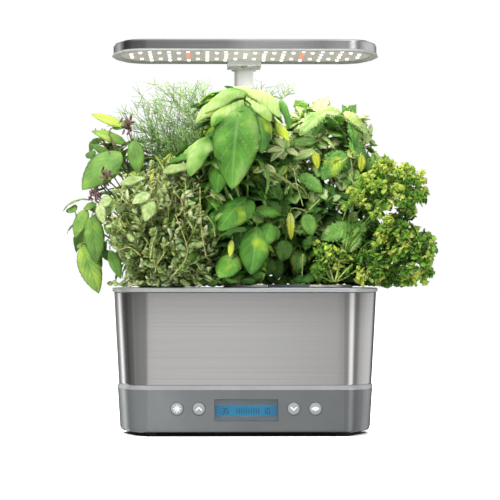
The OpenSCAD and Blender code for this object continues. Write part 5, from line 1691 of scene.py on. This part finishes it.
join_herb("mint", [
    *(without(b, (285, 400), (60, 106)) for b in (shoot_blades, cover_blades, deep_blades)),
    rim_leaves((0.006, 0.122), (-0.03, 0.02), 150, "mint", 0.35, 47), key_blades["mint"],
    tubes(mint_paths, (0.0014, 0.0008), 0.5),
    eye_stems([(-24, [(293, 166), (297, 186), (303, 206)]), (-30, [(286, 174), (287, 194)]),
               (-36, [(266, 174), (260, 186), (254, 197)]), (-22, [(354, 151), (341, 163)]),
               (-26, [(320, 199), (309, 210)]), (-40, [(258, 192), (262, 202), (267, 213)]),
               (-18, [(350, 174), (354, 185)]), (-30, [(303, 254), (302, 276)])],
              0.0006, 0.9),
    leaf_stalks("mint", cover_blades, base2, along2, mint_paths, 0.0008)],
    ["mint_leaf", "mint_stem"])

# %% [markdown]
# ## Thyme
# Thyme is a cushion of wiry stems with tiny paired leaves. It has thousands of leaves, so each
# has only sixteen faces. The stems lean on each other and wander, and pale ones show on top.

# %% Thyme
spots, normals = canopy("thyme", 215, 61, above=0.150, apart=0.007)
rng = np.random.default_rng(62)
targets = herb_middle("thyme") + (spots - herb_middle("thyme")) * rng.uniform(
    0.86, 1.03, (len(spots), 1))
# Low shoots over the rim, and shoots that end on the cushion's outline in the camera's frame.
skirt = np.stack([rng.uniform(-0.128, -0.028, 46), rng.uniform(-0.068, -0.04, 46),
                  rng.uniform(0.150, 0.164, 46)], 1)
dome = np.array([seen(x, y, d) for x, y, d in (
    (118, 200, -0.036), (124, 188, -0.034), (132, 180, -0.03), (140, 173, -0.034),
    (150, 168, -0.03), (158, 165, -0.036), (166, 164, -0.028), (175, 162, -0.034),
    (184, 162, -0.03), (193, 164, -0.036), (201, 169, -0.03), (208, 175, -0.04),
    (215, 183, -0.034), (221, 194, -0.04), (110, 212, -0.03), (106, 222, -0.036),
    (110, 236, -0.03), (113, 250, -0.036), (117, 264, -0.03), (146, 180, -0.05),
    (165, 174, -0.05), (185, 172, -0.052), (200, 182, -0.05), (130, 195, -0.05))])
dome = np.concatenate([dome + rng.normal(0, 0.004, dome.shape) for _ in range(3)])
targets = np.concatenate([targets, skirt, dome])
thyme_paths = shoot_paths(CROWNS["thyme"], targets[uncovered(targets)], 10, 0.5, 0.009, 63)
base, along, up, share = paired_leaves(thyme_paths, 11, 0.34, 1.0, 1.2, 0.5, 64)
size = 0.0100 * (1.15 - 0.4 * share) * rng.choice([0.8, 1.0, 1.25, 1.7], len(base),
                                                 p=[0.4, 0.35, 0.18, 0.07])
# Leaves are painted lighter towards the outside and the top of the cushion: painted light.
reach = np.linalg.norm((base - herb_middle("thyme")) / [0.06, 0.048, 0.05], axis=1)
tint = (0.5 * np.clip(reach, 0, 1.1) ** 3 + 0.85 * height_share(base, 0.165, 0.245) - 0.18
        + rng.normal(0, 0.24, len(base)))
small = blades(base, along, up, size, size * 0.55, tint, rows=4, columns=2, droop=0.5,
               fold=0.3, curl=0.2, wave=0.0, tip=0.6, thick=0.0003, seed=65)
front_stems = eye_stems([
    (-92, [(173, 191), (183, 201), (182, 212), (176, 217)]),
    (-99, [(175, 214), (180, 226), (186, 242), (190, 254), (182, 267), (170, 278)]),
    (-88, [(200, 187), (200, 212), (202, 237), (206, 256)]),
    (-98, [(157, 230), (152, 244), (150, 260)]), (-92, [(195, 206), (183, 216)]),
    (-88, [(207, 216), (214, 225), (215, 237)]), (-97, [(165, 252), (156, 266), (155, 272)]),
    (-88, [(117, 251), (130, 246), (141, 256)]), (-84, [(119, 218), (126, 228)]),
    (-92, [(185, 179), (186, 191)]), (-78, [(155, 171), (147, 185)]),
    (-76, [(206, 197), (216, 194), (224, 201)]), (-90, [(148, 242), (142, 254)])],
    0.00045, 0.6)
spots = np.concatenate([dome, spots[rng.random(len(spots)) < 0.35]])
normals = unit(spots - herb_middle("thyme"))
size = rng.uniform(0.0075, 0.0135, len(spots))
# Painted lighter towards the top: painted light.
broad = blades(*cover_leaves(spots, normals, size, 66, 0.1, 0.6, 0.5, 1.2), size, size * 0.68,
               0.55 + 0.3 * height_share(spots, 0.2, 0.25) + rng.normal(0, 0.22, len(spots)),
               rows=6, columns=4, droop=0.6, fold=0.28, curl=0.3, wave=0.02, tip=0.6, quilt=0.08,
               seed=67)
join_herb("thyme", [
    small, broad,
    rim_leaves((-0.132, -0.036), (-0.068, -0.02), 150, "thyme", 0.55, 68, (0.006, 0.010)),
    key_blades["thyme"],
    tubes(thyme_paths, (0.0008, 0.0004), rng.uniform(0.1, 1.0, len(thyme_paths))), front_stems,
    stalks(key["thyme"][0], key["thyme"][1], thyme_paths, 0.0005)],
    ["thyme_leaf", "thyme_stem"])

# %% [markdown]
# ## Curly parsley
# Curly parsley is all frills: each leaf ends in tufts of small leaflets with ruffled rims. The
# ruffle is a wave across the blade that grows towards its tip. Tufts sit where the stalks end,
# their leaflets pointing out in a half ball.

# %% Parsley
spots, normals = (np.concatenate(pair) for pair in zip(
    canopy("parsley", 225, 71, above=0.151, apart=0.0085),
    low_spots((0.072, 0.125), (-0.07, -0.03), (0.153, 0.188), 34, 70)))
rng = np.random.default_rng(72)
across, down = shown_at(spots)
# Two tufts, as ellipses in the camera's frame, and what lies to the left of them.
crown = ((across - 385) / 41) ** 2 + ((down - 195) / 34) ** 2 < 1
skirt = ((across - 390) / 42) ** 2 + ((down - 251) / 37) ** 2 < 1
inward = crown | skirt | (across < 376) & (down > 180)
spots, normals = spots[inward], normals[inward]
print("parsley tufts:", len(spots))
middle = herb_middle("parsley")
depth = np.where(np.arange(len(spots)) % 4 == 0, rng.uniform(0.5, 0.82, len(spots)),
                 rng.uniform(0.9, 1.0, len(spots)))
targets = middle + (spots - middle) * depth[:, None]
parsley_paths = shoot_paths(CROWNS["parsley"], targets[targets[:, 0] > 0.104][::14], 8, 0.55,
                            0.008, 73)
per_tuft = 22
ball = unit(rng.normal(0, 1, (len(targets), per_tuft, 3)) + 0.8 * unit(
    targets - middle)[:, None] + [0, 0, 0.3]).reshape(-1, 3)
base = np.repeat(targets, per_tuft, 0) + ball * rng.uniform(0.0005, 0.007, (len(ball), 1))
size = rng.uniform(0.004, 0.0078, len(base))
# Tufts are painted lighter towards the top and on some random low ones, and deeper tufts darker;
# leaflets above a tuft's middle are painted lighter than those below: painted light and shade.
sunny = height_share(targets, 0.175, 0.26) * rng.uniform(0, 1, len(targets)) ** 0.8
low_light = (rng.random(len(targets)) < 0.2) * 0.75
tuft_tone = np.where(depth < 0.85, -0.15, 0.25 + np.maximum(0.95 * sunny, low_light))
tint = np.minimum(np.repeat(tuft_tone, per_tuft) + rng.normal(0, 0.3, len(base)) + 45 * (
    base - np.repeat(targets, per_tuft, 0))[:, 2], 1.1)
frills = blades(base, ball, rng.normal(0, 1, ball.shape) + [0, -0.4, 0.8], size, size * 1.1, tint,
                rows=4, columns=4, belly=0.6, tip=0.6, droop=0.7, fold=0.1, curl=0.2, wave=0.05,
                teeth=0.3, ruffle=0.22, ruffles=2.2, thick=0.0003, seed=74)
crown_stems = eye_stems([
    (-58, [(333, 282), (326, 272), (319, 258)]), (-62, [(334, 282), (330, 270), (327, 258)]),
    (-60, [(336, 282), (344, 272), (353, 264)]), (-56, [(336, 282), (347, 277), (357, 270)]),
    (-62, [(335, 282), (338, 270), (340, 256)]), (-54, [(332, 282), (322, 277), (314, 272)])],
    0.0008, 0.7)
join_herb("parsley", [frills, tubes(parsley_paths, (0.0009, 0.0005), 0.0), crown_stems],
          ["parsley_leaf", "parsley_stem"])
